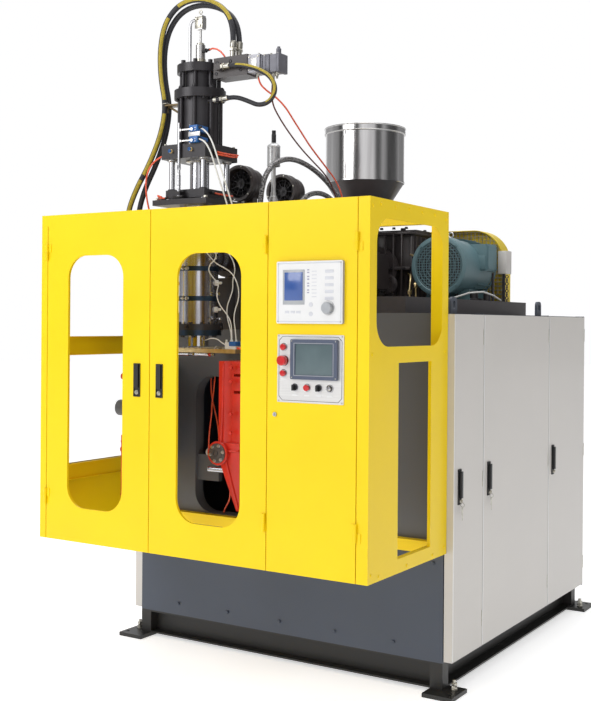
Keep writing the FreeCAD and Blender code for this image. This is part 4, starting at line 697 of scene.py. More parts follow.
def centreline(route):
    """Points along the route's smooth line, read from its spline."""
    line = curve_on("line", route, 0)
    bpy.context.scene.collection.objects.link(line)
    bpy.context.view_layer.update()
    drawn = line.evaluated_get(bpy.context.evaluated_depsgraph_get())
    mesh = bpy.data.meshes.new_from_object(drawn)
    points = [v.co.copy() for v in mesh.vertices]
    data = line.data
    bpy.data.objects.remove(line)
    bpy.data.curves.remove(data)
    bpy.data.meshes.remove(mesh)
    return points


def hose_stripe(name, route, radius, side, dashes):
    """Coloured bands laid on the hose; each dash is its start and end as shares of the length."""
    points = centreline(route)
    shape = Shape()
    for first, last in dashes:
        rows = []
        low = int(first * (len(points) - 1))
        high = int(last * (len(points) - 1))
        for index in range(low, high + 1):
            ahead = points[min(index + 1, len(points) - 1)] - points[max(index - 1, 0)]
            way = ahead.normalized()
            out = (side - way * side.dot(way)).normalized()
            across = way.cross(out)
            row = []
            for step in range(-3, 4):
                angle = math.radians(13 * step)
                spoke = out * math.cos(angle) + across * math.sin(angle)
                row.append(points[index] + spoke * (radius + 0.35) * MM)
            rows.append(row)
        shape.strip(rows)
    return shape.build(name, STRIPE, slot="rubber_black")


def crimp(shape, route, end, radius):
    """A pressed sleeve and its nut where a hose meets its fitting."""
    points = [at(*place) for place in route]
    if end:
        points.reverse()
    way = (points[1] - points[0]).normalized()
    shape.turned(points[0] + way * 2 * MM, way, [
        (radius * 0.9, 0), (radius + 3, 1), (radius + 3, 9), (radius + 1, 10), (radius + 1, 13),
        (radius + 2.6, 14), (radius + 2.6, 38), (radius + 1.2, 41), (radius * 0.9, 41)], 24)
    shape.hexagon(points[0], way, radius * 2 + 7, 12)


def add_cords():
    for name, kind, route, length in CORDS:
        radius, stiffness, look, node, slot = CORD_KINDS[kind]
        piece = curve_on(name, route, radius)
        piece.data.materials.append(look)
        bpy.context.scene.collection.objects.link(piece)
        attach(piece, "machine")
        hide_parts(node)
    side = Vector((0.55, -0.8, 0.0)).normalized()
    low = Vector((0.2, -0.75, 0.62)).normalized()
    stripes = {
        "main_hose_outer": hose_stripe("main_hose_stripe", MAIN_HOSE_OUTER, 12.5, side,
                                       [(0.06, 0.23), (0.27, 0.46), (0.49, 0.62), (0.63, 0.74)]),
        "main_hose_inner": hose_stripe("inner_hose_stripe", MAIN_HOSE_INNER, 12.5, -side,
                                       [(0.10, 0.30), (0.34, 0.50), (0.60, 0.80)]),
        "short_hose": hose_stripe("short_hose_stripe", SHORT_HOSE, 10, low, [(0.08, 0.58)]),
    }
    for name, kind, route, length in CORDS:
        radius, stiffness, look, node, slot = CORD_KINDS[kind]
    sleeves = Shape()
    for route in (MAIN_HOSE_OUTER, MAIN_HOSE_INNER):
        crimp(sleeves, route, False, 12.5)
    crimp(sleeves, SHORT_HOSE, False, 10)
    crimp(sleeves, SHORT_HOSE, True, 10)
    sleeves.build("hose_sleeves", ZINC)


# ---- head ---------------------------------------------------------------------------------------
def add_head():
    screws = Shape()
    for x, depth in ring_places(8, 106):
        screws.cap_screw(at(x, depth, 2638), Z, 6, 9)
    for x, depth in ring_places(4, 60, turn=0):
        screws.cap_screw(at(x, depth, 2752), Z, 7, 8)
    for x, depth in ring_places(8, 104, turn=0):
        screws.bolt(at(x, depth, 2598), DOWN, 12, 7)
    screws.build("cylinder_screws", IRON)

    riser = Shape()
    riser.hexagon(at(-279, 352, 2752), Z, 24, 12)
    path = [at(-279, 352, 2756), at(-279, 352, 2935), at(-277, 352, 2952), at(-269, 352, 2963),
            at(-256, 352, 2967), at(-236, 352, 2960), at(-222, 352, 2951)]
    riser.pipe(path, 6.5, 18)
    riser.turned(at(-240, 352, 2958), Vector((1, 0, -0.35)), disc(10, 12), 20)
    riser.build("sensor_post", CHROME)

    clamp = Shape()
    clamp.block(at(-241, 335, 2923), at(-199, 338, 2977), 1)
    clamp.block(at(-239, 366, 2926), at(-201, 369, 2974), 1)
    clamp.bolt(at(-230, 335, 2966), OUT, 9, 6)
    clamp.bolt(at(-210, 335, 2934), OUT, 9, 6)
    clamp.rod(at(-220, 352, 2978), at(-220, 352, 2991), 3.2)
    clamp.ring(at(-220, 352, 2999), OUT, 8, 2.4)
    clamp.build("sensor_clamp", ZINC)

    stem = Shape()
    stem.turned(at(HEAD_X, 352, 2846), Z, [(0, 0), (15, 0), (17, 3), (17, 10), (9, 14), (0, 14)])
    stem.turned(at(HEAD_X, 352, 2772), Z, [(21.6, 0), (24, 1), (24, 12), (21.6, 13)])
    stem.turned(at(HEAD_X, 352, 2752), Z, [(21, 0), (31, 0), (31, 7), (21, 9)])
    stem.build("stem_collars", ZINC)

    vent = Shape()
    vent.rod(at(-200, 345, 2817), at(-180, 338, 2817), 8)
    vent.hexagon(at(-182, 339, 2817), Vector((0.94, -0.33, 0)), 17, 10)
    vent.rod(at(-174, 336, 2817), at(-150, 328, 2816), 6)
    vent.build("vent_fitting", BLACK)
    tube = Shape()
    tube.pipe([at(-152, 329, 2816), at(-132, 325, 2818), at(-108, 324, 2812), at(-88, 326, 2799),
               at(-74, 330, 2782), at(-66, 334, 2767)], AIR_TUBE, 12)
    tube.build("vent_tube", ORANGE, slot="tube_orange")

    bracket = Shape()
    bracket.block(at(-420, 335, 2588), at(-298, 388, 2595), 1)
    bracket.pipe([at(-408, 362, 2590), at(-312, 358, 2536)], 5)
    bracket.block(at(-420, 335, 2562), at(-414, 388, 2590), 1)
    bracket.build("hose_bracket", TAN)
    straps = Shape()
    for depth in (345, 378):
        straps.ring(at(-413, depth, 2600), Z, 14.5, 2.4)
    straps.build("hose_straps", ZINC)

    glands = Shape()
    for x, depth, foot, tall in ((95, 352, 2682, 14), (176, 352, 2674, 30), (204, 340, 2676, 20)):
        glands.hexagon(at(x, depth, foot + 2), DOWN, 17, 9)
        glands.turned(at(x, depth, foot - 7), DOWN, [(0, 0), (7, 0), (7, tall * 0.5),
                                                     (5, tall * 0.55), (5, tall), (0, tall)], 18)
    glands.hexagon(at(-160, 318, 2584), X, 27, 14)
    glands.turned(at(-146, 318, 2584), X,
                  [(0, 0), (11, 0), (11, 30), (14, 31), (14, 48), (0, 48)], 20)
    glands.build("valve_glands", ZINC)

    valve = Shape()
    for x, depth in ((76, 319), (124, 319), (76, 385), (124, 385)):
        valve.cap_screw(at(x, depth, 2760), Z, 4.2, 5)
    for z in (2694, 2750):
        for x in (77, 123):
            valve.cap_screw(at(x, 312, z), OUT, 3.6, 4)
    for x in (146, 180, 214):
        valve.cap_screw(at(x, 330, 2752), Z, 5, 7)
        valve.cap_screw(at(x, 374, 2752), Z, 5, 7)
    for x in (-100, -20, 30, 58):
        valve.cap_screw(at(x, 390, 2766), Z, 5, 6)
    valve.build("valve_screws", ZINC)
    cover = Shape()
    cover.block(at(84, 310.6, 2697), at(115, 312.2, 2746), 0.6)
    cover.build("valve_plate", PLATE, slot="plate_metal")
    ribs = Shape()
    for x, wide in ((131.5, 9), (156, 22), (212, 16)):
        ribs.block(at(x, 316, 2672.5), at(x + wide, 388, 2755), 2.2)
    ribs.rod(at(204, 352, 2752), at(204, 352, 2782), 11, 20)
    ribs.rod(at(204, 352, 2782), at(204, 352, 2790), 7, 20)
    ribs.build("pilot_ribs", PILOT)
    plugs = Shape()
    for x, z in ((-92, 2744), (-20, 2744), (36, 2700), (-96, 2696)):
        plugs.cap_screw(at(x, 306, z), OUT, 7.5, 3)
    plugs.build("manifold_plugs", IRON)


def add_ram_details():
    switches = Shape()
    for low in (2384, 2433):
        switches.block(at(-175, 212, low), at(-129, 294, low + 28), 2.5)
        switches.turned(at(-158, 212, low + 10), OUT, disc(9, 2.5), 20)
    switches.build("switch_covers", SWITCH_BLUE)
    plate = Shape()
    plate.block(at(-183, 218, 2412.5), at(-121, 224, 2432), 1)
    plate.block(at(-183, 224, 2380), at(-179, 262, 2466), 1)
    for z in (2389, 2398, 2438, 2448):
        plate.cap_screw(at(-140, 212, z), OUT, 2.2, 2)
    plate.build("switch_bracket", PLATE)
    glands = Shape()
    for z in (2399, 2450):
        glands.hexagon(at(-131, 226, z), X, 13, 7)
        glands.turned(at(-124, 226, z), X, [(0, 0), (5.6, 0), (5, 9), (0, 9)], 16)
    glands.build("switch_glands", BLACK)

    fittings = Shape()
    tips = Shape()
    for x, z in ((-286, 2356), (-175, 2357)):
        fittings.hexagon(at(x, 230, z), OUT, 17, 6)
        fittings.turned(at(x, 224, z), OUT, disc(7, 5), 18)
        tips.turned(at(x, 219, z), OUT, [(3, 0), (7.6, 0), (7.6, 5), (5, 6.5), (3, 6.5)], 18)
    fittings.build("push_in_bodies", BRASS)
    tips.build("push_in_rings", SWITCH_BLUE)

    side = Shape()
    for path in (((-94, 300, 2352), (-92, 340, 2350), (-92, 420, 2352), (-95, 476, 2356)),
                 ((-94, 300, 2340), (-90, 360, 2341), (-91, 430, 2342), (-96, 470, 2348)),
                 ((-300, 224, 2146), (-330, 214, 2148), (-352, 226, 2146), (-364, 262, 2143)),
                 ((-328, 216, 2152), (-352, 218, 2160), (-366, 240, 2156), (-378, 280, 2142))):
        side.pipe([at(*place) for place in path], AIR_TUBE)
    side.build("block_side_tubes", ORANGE, slot="tube_orange")
    elbow = Shape()
    for z in (2352, 2340):
        elbow.rod(at(-98, 296, z), at(-91, 296, z), 6)
        elbow.rod(at(-93, 290, z), at(-93, 306, z), 6)
    elbow.rod(at(-332, 222, 2141), at(-300, 222, 2149), 6)
    elbow.build("side_elbows", BLACK)

    moving = Shape()
    moving.pipe([at(-104, 300, 2168), at(-102, 340, 2166), at(-103, 400, 2166),
                 at(-108, 452, 2168)], AIR_TUBE)
    moving.build("crosshead_tube", ORANGE, "ram", "tube_orange")
    nuts = Shape()
    nuts.rod(at(-112, 296, 2168), at(-103, 296, 2168), 6)
    nuts.rod(at(-104, 288, 2168), at(-104, 306, 2168), 6)
    nuts.build("crosshead_elbow", BLACK, "ram")
    rod = Shape()
    rod.hexagon(at(*INDICATOR, 2190), Z, 16, 9)
    rod.turned(at(*INDICATOR, 2199), Z, [(0, 0), (8.4, 0), (8.4, 44), (7, 47), (0, 47)], 20)
    rod.hexagon(at(*INDICATOR, 2246), Z, 15, 8)
    rod.turned(at(*INDICATOR, 2268), Z, [(0, 0), (7.6, 0), (8.2, 2), (8.2, 26), (0, 27)], 20)
    rod.turned(at(*INDICATOR, 2152), Z,
               [(0, 0), (10.5, 0), (10.5, 14), (8, 16), (8, 36), (0, 36)], 20)
    rod.build("indicator_sleeve", CHROME, "ram")
    foot = Shape()
    foot.block(at(-262, 208, 2147), at(-208, 246, 2153), 1.2)
    for x in (-255, -215):
        foot.cap_screw(at(x, 226, 2153), Z, 4, 4)
    foot.build("indicator_foot", IRON, "ram")
    collar = Shape()
    for place in pillar_places():
        collar.turned(at(*place, 2184), Z, [(14, 0), (20, 0), (20, 3), (17, 6), (14, 6)], 24)
    collar.turned(at(HEAD_X, HEAD_DEPTH, 2184), Z,
                  [(44, 0), (58, 0), (58, 3), (53, 6), (44, 6)], 40)
    for x, depth in ring_places(6, 66):
        collar.cap_screw(at(x, depth, 2184), Z, 5, 6)
    collar.build("crosshead_collars", IRON, "ram")
    seats = Shape()
    for place in pillar_places():
        seats.turned(at(*place, 2322), DOWN,
                     [(13.2, 0), (22, 0), (22, 6), (18, 9), (13.2, 9)], 24)
        seats.turned(at(*place, 2138), Z, band(13.2, 19, 4), 24)
    seats.turned(at(HEAD_X, HEAD_DEPTH, 2322), DOWN,
                 [(44, 0), (62, 0), (62, 6), (55, 9), (44, 9)], 40)
    seats.build("rod_seats", STEEL)
    studs = Shape()
    for x, depth in ((-330, 242), (-110, 242), (-330, 462), (-110, 462)):
        studs.cap_screw(at(x, depth, 2386), Z, 6, 7)
    for x, depth in ((-356, 218), (-84, 218), (-356, 500), (-84, 500), (-356, 640), (-84, 640)):
        studs.bolt(at(x, depth, 2138), Z, 15, 9)
    studs.build("platform_bolts", ZINC)


# ---- blowers, silencer, hopper ------------------------------------------------------------------
def add_blowers():
    rims = Shape()
    screws = Shape()
    for front in BLOWER_FRONTS:
        centre = at(HEAD_X, front, BLOWER_Z)
        rims.turned(centre, OUT, [(70.5, 0), (86, 0), (87, 2), (86, 5), (74, 5), (70.5, 2)], 48)
        for index in range(6):
            angle = 2 * math.pi * index / 6 + 0.3
            place = centre + upright(angle) * 79.5 * MM + OUT * 4.6 * MM
            screws.cap_screw(place, OUT, 3.4, 3)
        for reach in (24, 46):
            rims.ring(centre + Y * reach * MM, OUT, 86, 1.6, 48)
    rims.build("blower_rims", DARK)
    screws.build("blower_screws", ZINC)
    guards = Shape()
    for front in BLOWER_FRONTS:
        centre = at(HEAD_X, front + 14, BLOWER_Z)
        for radius in (24, 40, 56):
            guards.ring(centre, OUT, radius, 1.1, 40)
        for index in range(4):
            angle = math.pi * index / 4
            arm = upright(angle) * 70 * MM
            guards.pipe([centre - arm, centre + arm], 1.2, 8)
    guards.build("blower_grilles", BLACK)

    silencer = Shape()
    silencer.turned(at(*SILENCER, 2362), Z,
                    [(11, 0), (22, 2), (33, 6), (33, 10), (31.8, 12), (31.8, 98),
                     (33, 100), (33, 104), (26, 112), (14, 119), (10, 122)], 36)
    silencer.turned(at(*SILENCER, 2206), Z,
                    [(11, 0), (19, 0), (19, 10), (14, 14), (14, 32), (11, 34)])
    silencer.build("silencer_shell", ALUMINIUM)
    stem = Shape()
    stem.turned(at(*SILENCER, 2484), Z,
                [(0, 0), (11.5, 0), (11.5, 40), (9, 44), (9, 59), (0, 59)], 20)
    stem.build("silencer_stem", BLACK)


def add_hopper():
    centre = at(HEAD_X, HOPPER_DEPTH, 0)
    beads = Shape()
    for z, radius in ((2698, 229), (2668, 228)):
        beads.ring(centre + Z * z * MM, Z, radius, 4.0, 96)
    beads.turned(centre + Z * 2670 * MM, Z, band(225, 229.5, 26), 96)
    beads.build("hopper_beads", STEEL, slot="stainless")
    seam = Shape()
    seam.block(at(HEAD_X - 4, HOPPER_DEPTH - 225.2, 2398),
               at(HEAD_X + 4, HOPPER_DEPTH - 223.8, 2662), 0.3)
    seam.turned(centre + Z * 2389 * MM, Z,
                [(HOPPER_RADIUS, 0), (227, 1), (227, 8), (HOPPER_RADIUS, 9)], 96)
    seam.build("hopper_seam", STAINLESS, slot="stainless")
    bars = Shape()
    for turn in (0.6, 2.2, 3.9, 5.3):
        way = level_way(turn)
        bars.pipe([centre + way * 205 * MM + Z * 2388 * MM, centre + way * 150 * MM + Z * 2298 * MM,
                   centre + way * 84 * MM + Z * 2176 * MM], 7, 12)
    bars.turned(centre + Z * 2160 * MM, Z, band(60, 92, 9), 40)
    for index in range(8):
        angle = 2 * math.pi * index / 8
        way = level_way(angle)
        bars.bolt(centre + way * 80 * MM + Z * 2169 * MM, Z, 13, 8)
    bars.build("hopper_supports", DARK)


# ---- die head and clamp -------------------------------------------------------------------------
def add_die_head():
    bolts = Shape()
    for x, depth in ring_places(12, 103):
        bolts.cap_screw(at(x, depth, 1585), Z, 6, 8)
    for x, depth in ring_places(8, 78):
        bolts.bolt(at(x, depth, 1533), DOWN, 12, 8)
    for x, depth in ring_places(4, 110, turn=0.1):
        way = (at(x, depth, 1571) - at(HEAD_X, HEAD_DEPTH, 1571)).normalized()
        bolts.bolt(at(x, depth, 1571), way, 13, 9)
    bolts.build("die_bolts", IRON)
    lugs = Shape()
    straps = Shape()
    for low in BAND_FEET:
        for x0, x1 in ((-14, -6), (6, 14)):
            lugs.block(at(HEAD_X + x0, HEAD_DEPTH - 108, low + 1),
                       at(HEAD_X + x1, HEAD_DEPTH - 90, low + 17), 1.5)
        lugs.rod(at(HEAD_X - 22, HEAD_DEPTH - 102, low + 9),
                 at(HEAD_X + 22, HEAD_DEPTH - 102, low + 9), 3)
        for edge in (low - 1.5, low + 17.5):
            straps.turned(at(HEAD_X, HEAD_DEPTH, edge), Z, band(88, 92.8, 2), 64)
    lugs.build("band_clamps", ZINC)
    straps.build("band_edges", BAND)
    boxes = Shape()
    for z, turn in ((1914, 0.05), (1770, 0.15), (1650, 0.1)):
        way = level_way(turn)
        centre = at(HEAD_X, HEAD_DEPTH, z) + way * 92 * MM
        boxes.turned(centre - way * 4 * MM, way, [(0, 0), (13, 0), (13, 9), (9, 12), (0, 12)], 24)
        boxes.turned(centre + way * 8 * MM, way, [(0, 0), (6, 0), (6, 14), (4, 17), (0, 17)], 18)
    boxes.build("heater_terminals", WHITE)
    probes = Shape()
    for z, turn in ((1878, -0.35), (1720, -0.3), (1610, -0.2), (1945, -0.2)):
        way = level_way(turn)
        start = at(HEAD_X, HEAD_DEPTH, z) + way * 84 * MM
        probes.hexagon(start, way, 17, 12)
        probes.rod(start + way * 10 * MM, start + way * 62 * MM, 4)
        probes.hexagon(start + way * 58 * MM, way, 14, 12)
    probes.build("head_probes", CHROME)
    block = Shape()
    block.block(at(-2, 284, 1489), at(34, 331, 1509), 2)
    block.build("wire_connector", SWITCH_BLUE)
    tips = Shape()
    for x, depth in ((20, 310), (4, 300), (-12, 316), (-28, 304)):
        tips.turned(at(x, depth, 1504), Z, [(0, 0), (5, 0), (5, 10), (3.6, 13), (0, 13)], 16)
    tips.build("wire_tips", WHITE, slot="cable_white")
    tube = Shape()
    tube.pipe([at(34, 300, 1480), at(60, 298, 1478), at(96, 306, 1470), at(140, 320, 1466),
               at(196, 330, 1462)], 5)
    tube.build("connector_tube", ORANGE, slot="tube_orange")
    cylinders = Shape()
    for x0, x1 in ((-300, -232), (-196, -120)):
        length = x1 - x0
        cylinders.turned(at(x0, 300, 1449), X,
                         [(0, 0), (8, 0), (8, 14), (7, 15), (7, length - 18), (8, length - 17),
                          (8, length), (0, length)], 22)
        cylinders.rod(at(x1, 300, 1449), at(x1 + 26, 300, 1449), 3.2)
        cylinders.hexagon(at(x1 + 22, 300, 1449), X, 13, 8)
    cylinders.build("cutter_cylinders", CHROME)
    cap = Shape()
    cap.rod(at(-120, 300, 1449), at(-112, 300, 1449), 8.4)
    cap.build("cutter_cap", BUTTON)
    screws = Shape()
    for x in (-330, -268, -172, -96):
        for depth in (306, 420, 640):
            screws.cap_screw(at(x, depth, 1475), Z, 4.5, 5)
    for x in (-70, -40, 20):
        screws.cap_screw(at(x, 296, 1475), Z, 3.5, 4)
    screws.build("plate_screws", STEEL)
    rear = Shape()
    rear.block(at(-80, 470, 1600), at(60, 560, 1690), 4)
    rear.block(at(-60, 520, 1720), at(80, 600, 1860), 4)
    rear.block(at(20, 440, 1770), at(90, 520, 1830), 3)
    rear.rod(at(-20, 460, 1690), at(-20, 460, 1905), 9)
    rear.rod(at(24, 500, 1600), at(24, 500, 1960), 12)
    rear.rod(at(66, 480, 1640), at(66, 480, 1960), 8)
    rear.block(at(-156, 548, 1560), at(120, 557, 2112), 2)
    rear.block(at(-300, 562, 1560), at(-134, 580, 1802), 3)
    rear.block(at(-110, 580, 1990), at(120, 640, 2020), 3)
    rear.build("valve_group", IRON)
    brass = Shape()
    for x, z in ((-20, 1905), (-20, 1700), (66, 1640), (24, 1740)):
        brass.hexagon(at(x, 460 if x == -20 else 488, z), Z, 24, 16)
    for x in (-50, -15, 20):
        brass.turned(at(x, 470, 1645), OUT, [(0, 0), (9, 0), (9, 12), (6, 14), (0, 14)], 18)
    brass.build("valve_fittings", ZINC)


def add_clamp():
    for body, sign in (("platen_right", 1), ("platen_left", -1)):
        x = -212 + sign * 226.5
        cap = Shape()
        heads = Shape()
        cap.turned(at(x, 186, PIN_Z), OUT,
                   [(0, 0), (41, 0), (42.5, 2), (42.5, 6), (40, 9), (28, 9), (27, 11), (16, 11),
                    (15, 8), (8, 8), (7, 12), (0, 12)], 48)
        for index in range(6):
            angle = math.pi * index / 3 + 0.2
            place = (at(x + 34 * math.cos(angle), 186, PIN_Z + 34 * math.sin(angle))
                     + OUT * 8.6 * MM)
            heads.bolt(place, OUT, 11, 6)
        cap.build("pin_cap_" + body, CAP, body)
        heads.build("pin_cap_bolts_" + body, STEEL, body)
        lip = Shape()
        lip.turned(at(x, 188, PIN_Z), OUT, [(43, 0), (51, 0), (52, 3), (50, 6), (43, 6)], 48)
        lip.build("boss_lip_" + body, RED, body, "clamp_red")
        lump = Shape()
        lump.block(at(x - sign * 78, 212, 1012), at(x - sign * 50, 252, 1046), 5)
        lump.turned(at(x - sign * 64, 214, 1029), OUT,
                    [(0, 0), (15, 0), (15, 8), (9, 10), (0, 10)], 20)
        lump.build("guide_shoe_" + body, ALUMINIUM, body)
        ribs = Shape()
        face = x + sign * 10
        ribs.pipe([at(face, 196, 1075), at(face + sign * 6, 199, 1230),
                   at(face + sign * 8, 200, 1415)], 5)
        ribs.pipe([at(x + sign * 36, 197, 1000), at(x + sign * 100, 199, 800)], 5)
        ribs.pipe([at(x + sign * 46, 197, 1040), at(x + sign * 102, 199, 1046)], 5)
        ribs.build("platen_ribs_" + body, RED, body, "clamp_red")
        bolts = Shape()
        for z in (1120, 1200, 1340, 1400):
            bolts.bolt(at(x + sign * 60, 200, z), OUT, 14, 8)
        bolts.build("platen_bolts_" + body, RED, body, "clamp_red")


# ---- guard, doors and panels --------------------------------------------------------------------
def edge_window(name, low_x, high_x, low_z, high_z, body):
    """A painted edging round a window with round corners."""
    low_x, high_x = low_x + WINDOW_CORNER, high_x - WINDOW_CORNER
    low_z, high_z = low_z + WINDOW_CORNER, high_z - WINDOW_CORNER
    points = []
    for cx, cz, start in ((high_x, high_z, 0), (low_x, high_z, 90), (low_x, low_z, 180),
                          (high_x, low_z, 270)):
        for step in range(13):
            angle = math.radians(start + 7.5 * step)
            points.append(at(cx + WINDOW_CORNER * math.cos(angle), 1,
                             cz + WINDOW_CORNER * math.sin(angle)))
    points.append(points[0])
    Shape().pipe(points, EDGING, 8).build(name, YELLOW, body)


def add_guard():
    for name, x, body in (("left", -280, "guard_door_left"), ("right", -157, "guard_door_middle")):
        dish = Shape()
        dish.block(at(x - 18, -1.6, HANDLE_FOOT), at(x + 18, 0.2, HANDLE_TOP), 0.8)
        for z0, z1 in ((HANDLE_FOOT, 1275), (1410, HANDLE_TOP)):
            dish.block(at(x - 18, -5, z0), at(x + 18, -1, z1), 1.2)
        for x0, x1 in ((x - 18, x - 14.6), (x + 14.6, x + 18)):
            dish.block(at(x0, -5, HANDLE_FOOT), at(x1, -1, HANDLE_TOP), 1.2)
        dish.build("handle_dish_" + name, BLACK, body, "black_plastic")
        lock = Shape()
        lock.turned(at(x, -1, 1290), OUT, [(0, 0), (10, 0), (10, 5), (8.5, 7), (0, 7)], 28)
        lock.block(at(x - 1, -9, 1284), at(x + 1, -7.4, 1296), 0.2)
        lock.build("handle_lock_" + name, ZINC, body)
    edge_window("left_window_edge", -686, -362, 758, 1886, "guard_door_left")
    edge_window("middle_window_edge", -67, 263, 754, 1880, "guard_door_middle")
    bumps = Shape()
    for x in (-800, -770, -740, -710):
        bumps.turned(at(x, 60, 2073), Z, [(0, 0), (6, 0), (5, 3), (0, 4)], 16)
    places = [(depth, 2050) for depth in (90, 210, 330, 450, 570)]
    places += [(depth, 625) for depth in (90, 330, 570)]
    places += [(depth, z) for z in (640, 1475, 2040) for depth in (26, 682)]
    for depth, z in places:
        bumps.turned(at(851, depth, z), X, [(0, 0), (7, 0), (6, 3), (0, 4)], 16)
    bumps.build("guard_bolts", YELLOW, slot="guard_yellow")
    seal = Shape()
    for x in (-212, 391):
        seal.block(at(x - 1.4, 12, 615), at(x + 1.4, 15, 2065))
    seal.build("door_seals", BLACK)
    stiff = Shape()
    for z0, z1 in ((1434, 1438), (1518, 1522), (850, 854), (922, 926)):
        stiff.block(at(-845, 60, z0), at(-812, 648, z1), 0.8)
    stiff.build("side_rail_flanges", YELLOW, slot="guard_yellow")


def add_panels():
    trim = Shape()
    for x0, x1, z0, z1 in ((448, 736, 1823, 1827), (448, 736, 1596, 1600), (448, 452, 1596, 1827),
                           (732, 736, 1596, 1827)):
        trim.block(at(x0, -15.2, z0), at(x1, -13.8, z1), 0.5)
    trim.build("programmer_trim", FAINT, "control_door")
    line = Shape()
    border = [(450, 1523), (466, 1539), (720, 1539), (736, 1523), (736, 1305), (720, 1289),
              (466, 1289), (450, 1305), (450, 1523)]
    for (xa, za), (xb, zb) in zip(border[:-1], border[1:]):
        line.pipe([at(xa, -4.1, za), at(xb, -4.1, zb)], 1.0, 6)
    line.build("plate_border", CAP, "control_door")
    frame_line = Shape()
    for a0, a1, b0, b1 in ((525, 705, 1513, 1515), (525, 705, 1387, 1389), (525, 527, 1387, 1515),
                           (703, 705, 1387, 1515)):
        frame_line.block(at(a0, -16.5, b0), at(a1, -15.7, b1))
    frame_line.build("screen_line", KNOB, "control_door")
    lcd = Shape()
    lcd.block(at(472, -15.4, 1664), at(572, -13.6, 1800), 0.6)
    lcd.build("programmer_bezel", KNOB, "control_door")
    face = Shape()
    face.block(at(480, -16.2, 1680), at(564, -15.0, 1790), 0.4)
    face.build("programmer_display", BLUE_GLASS, "control_door", "screen_dark")
    keys = Shape()
    for row in range(5):
        keys.block(at(664, -15.0, 1786 - row * 26), at(702, -13.8, 1798 - row * 26), 0.7)
    for z in (1664, 1628):
        keys.turned(at(601, -13.8, z), OUT, [(0, 0), (9, 0), (9, 1), (0, 1.2)], 28)
    for row in range(8):
        keys.block(at(604, -14.4, 1791 - row * 14), at(626, -13.8, 1794 - row * 14), 0.2)
    for x in (482, 508, 534):
        keys.block(at(x, -14.6, 1630), at(x + 20, -13.8, 1640), 0.5)
    keys.build("programmer_keys", FAINT, "control_door")
    lamps = Shape()
    for row in range(4):
        for drop in (0, 10):
            z = 1796 - row * 26 - drop
            lamps.block(at(583, -14.8, z), at(593, -13.8, z + 5), 0.5)
    lamps.build("programmer_lamps", CASE, "control_door")
    dial = Shape()
    dial.turned(at(KNOB_X, -14, KNOB_Z), OUT, [(22.5, 0), (29, 0), (28, 1.6), (22.5, 1.6)], 40)
    dial.build("knob_scale", ALUMINIUM, "control_door")
    grip = Shape()
    for index in range(30):
        angle = 2 * math.pi * index / 30
        x, z = KNOB_X + 21.6 * math.cos(angle), KNOB_Z + 21.6 * math.sin(angle)
        grip.rod(at(x, -29, z), at(x, -17, z), 0.9, 8)
    grip.build("knob_grip", KNOB, "programmer_knob")
    screws = Shape()
    for x in (449, 737):
        for z in (1287, 1541):
            screws.cap_screw(at(x, -4, z), OUT, 3.4, 1.6)
    for x in (450, 734):
        for z in (1598, 1825):
            screws.cap_screw(at(x, -14, z), OUT, 3.0, 1.4)
    for x in (516, 714):
        for z in (1380, 1522):
            screws.cap_screw(at(x, -16, z), OUT, 2.4, 1.0)
    screws.build("panel_screws", ZINC, "control_door")
    rings = Shape()
    for z in (START_Z, STOP_Z):
        rings.turned(at(PUSH_X, -4, z), OUT, [(13.2, 0), (16, 0), (15.4, 2.4), (13.2, 2.6)], 32)
    rings.turned(at(PUSH_X, -4, EMERGENCY_Z), OUT,
                 [(12, 0), (22.5, 0), (22.2, 0.6), (12, 0.7)], 36)
    for x in (525, 581, 634, 684):
        rings.turned(at(x, -4, ROW_Z), OUT, [(13.2, 0), (16, 0), (15.4, 2.4), (13.2, 2.6)], 32)
    rings.build("button_rings", CHROME, "control_door")
    plates = Shape()
    for x, z in ((PUSH_X, 1469), (PUSH_X, 1420), (PUSH_X, 1372), (525, 1312), (581, 1312),
                 (634, 1312), (684, 1312)):
        plates.block(at(x - 13, -4.9, z - 4), at(x + 13, -3.8, z + 3), 0.3)
    plates.build("bare_legends", PANEL, "control_door")
    dome = Shape()
    for z, body in ((START_Z, "start_button"), (STOP_Z, "stop_button")):
        cap = Shape()
        cap.turned(at(PUSH_X, -16.4, z), OUT, [(10.5, 0), (9.5, 1), (0, 1.6)], 28)
        cap.build("cap_face_" + body, BUTTON, body, "button_red")
    dome.turned(at(PUSH_X, -22, EMERGENCY_Z), OUT, [(19.6, 0), (17.5, 2.2), (10, 3.6), (0, 4)], 40)
    dome.build("mushroom_dome", BUTTON, "emergency_stop", "button_red")


# ---- cabinet side, base and rear ----------------------------------------------------------------
CABINET_ROWS = (("front", 709, 1031), ("middle", 1035, 1896), ("rear", 1900, 2477))


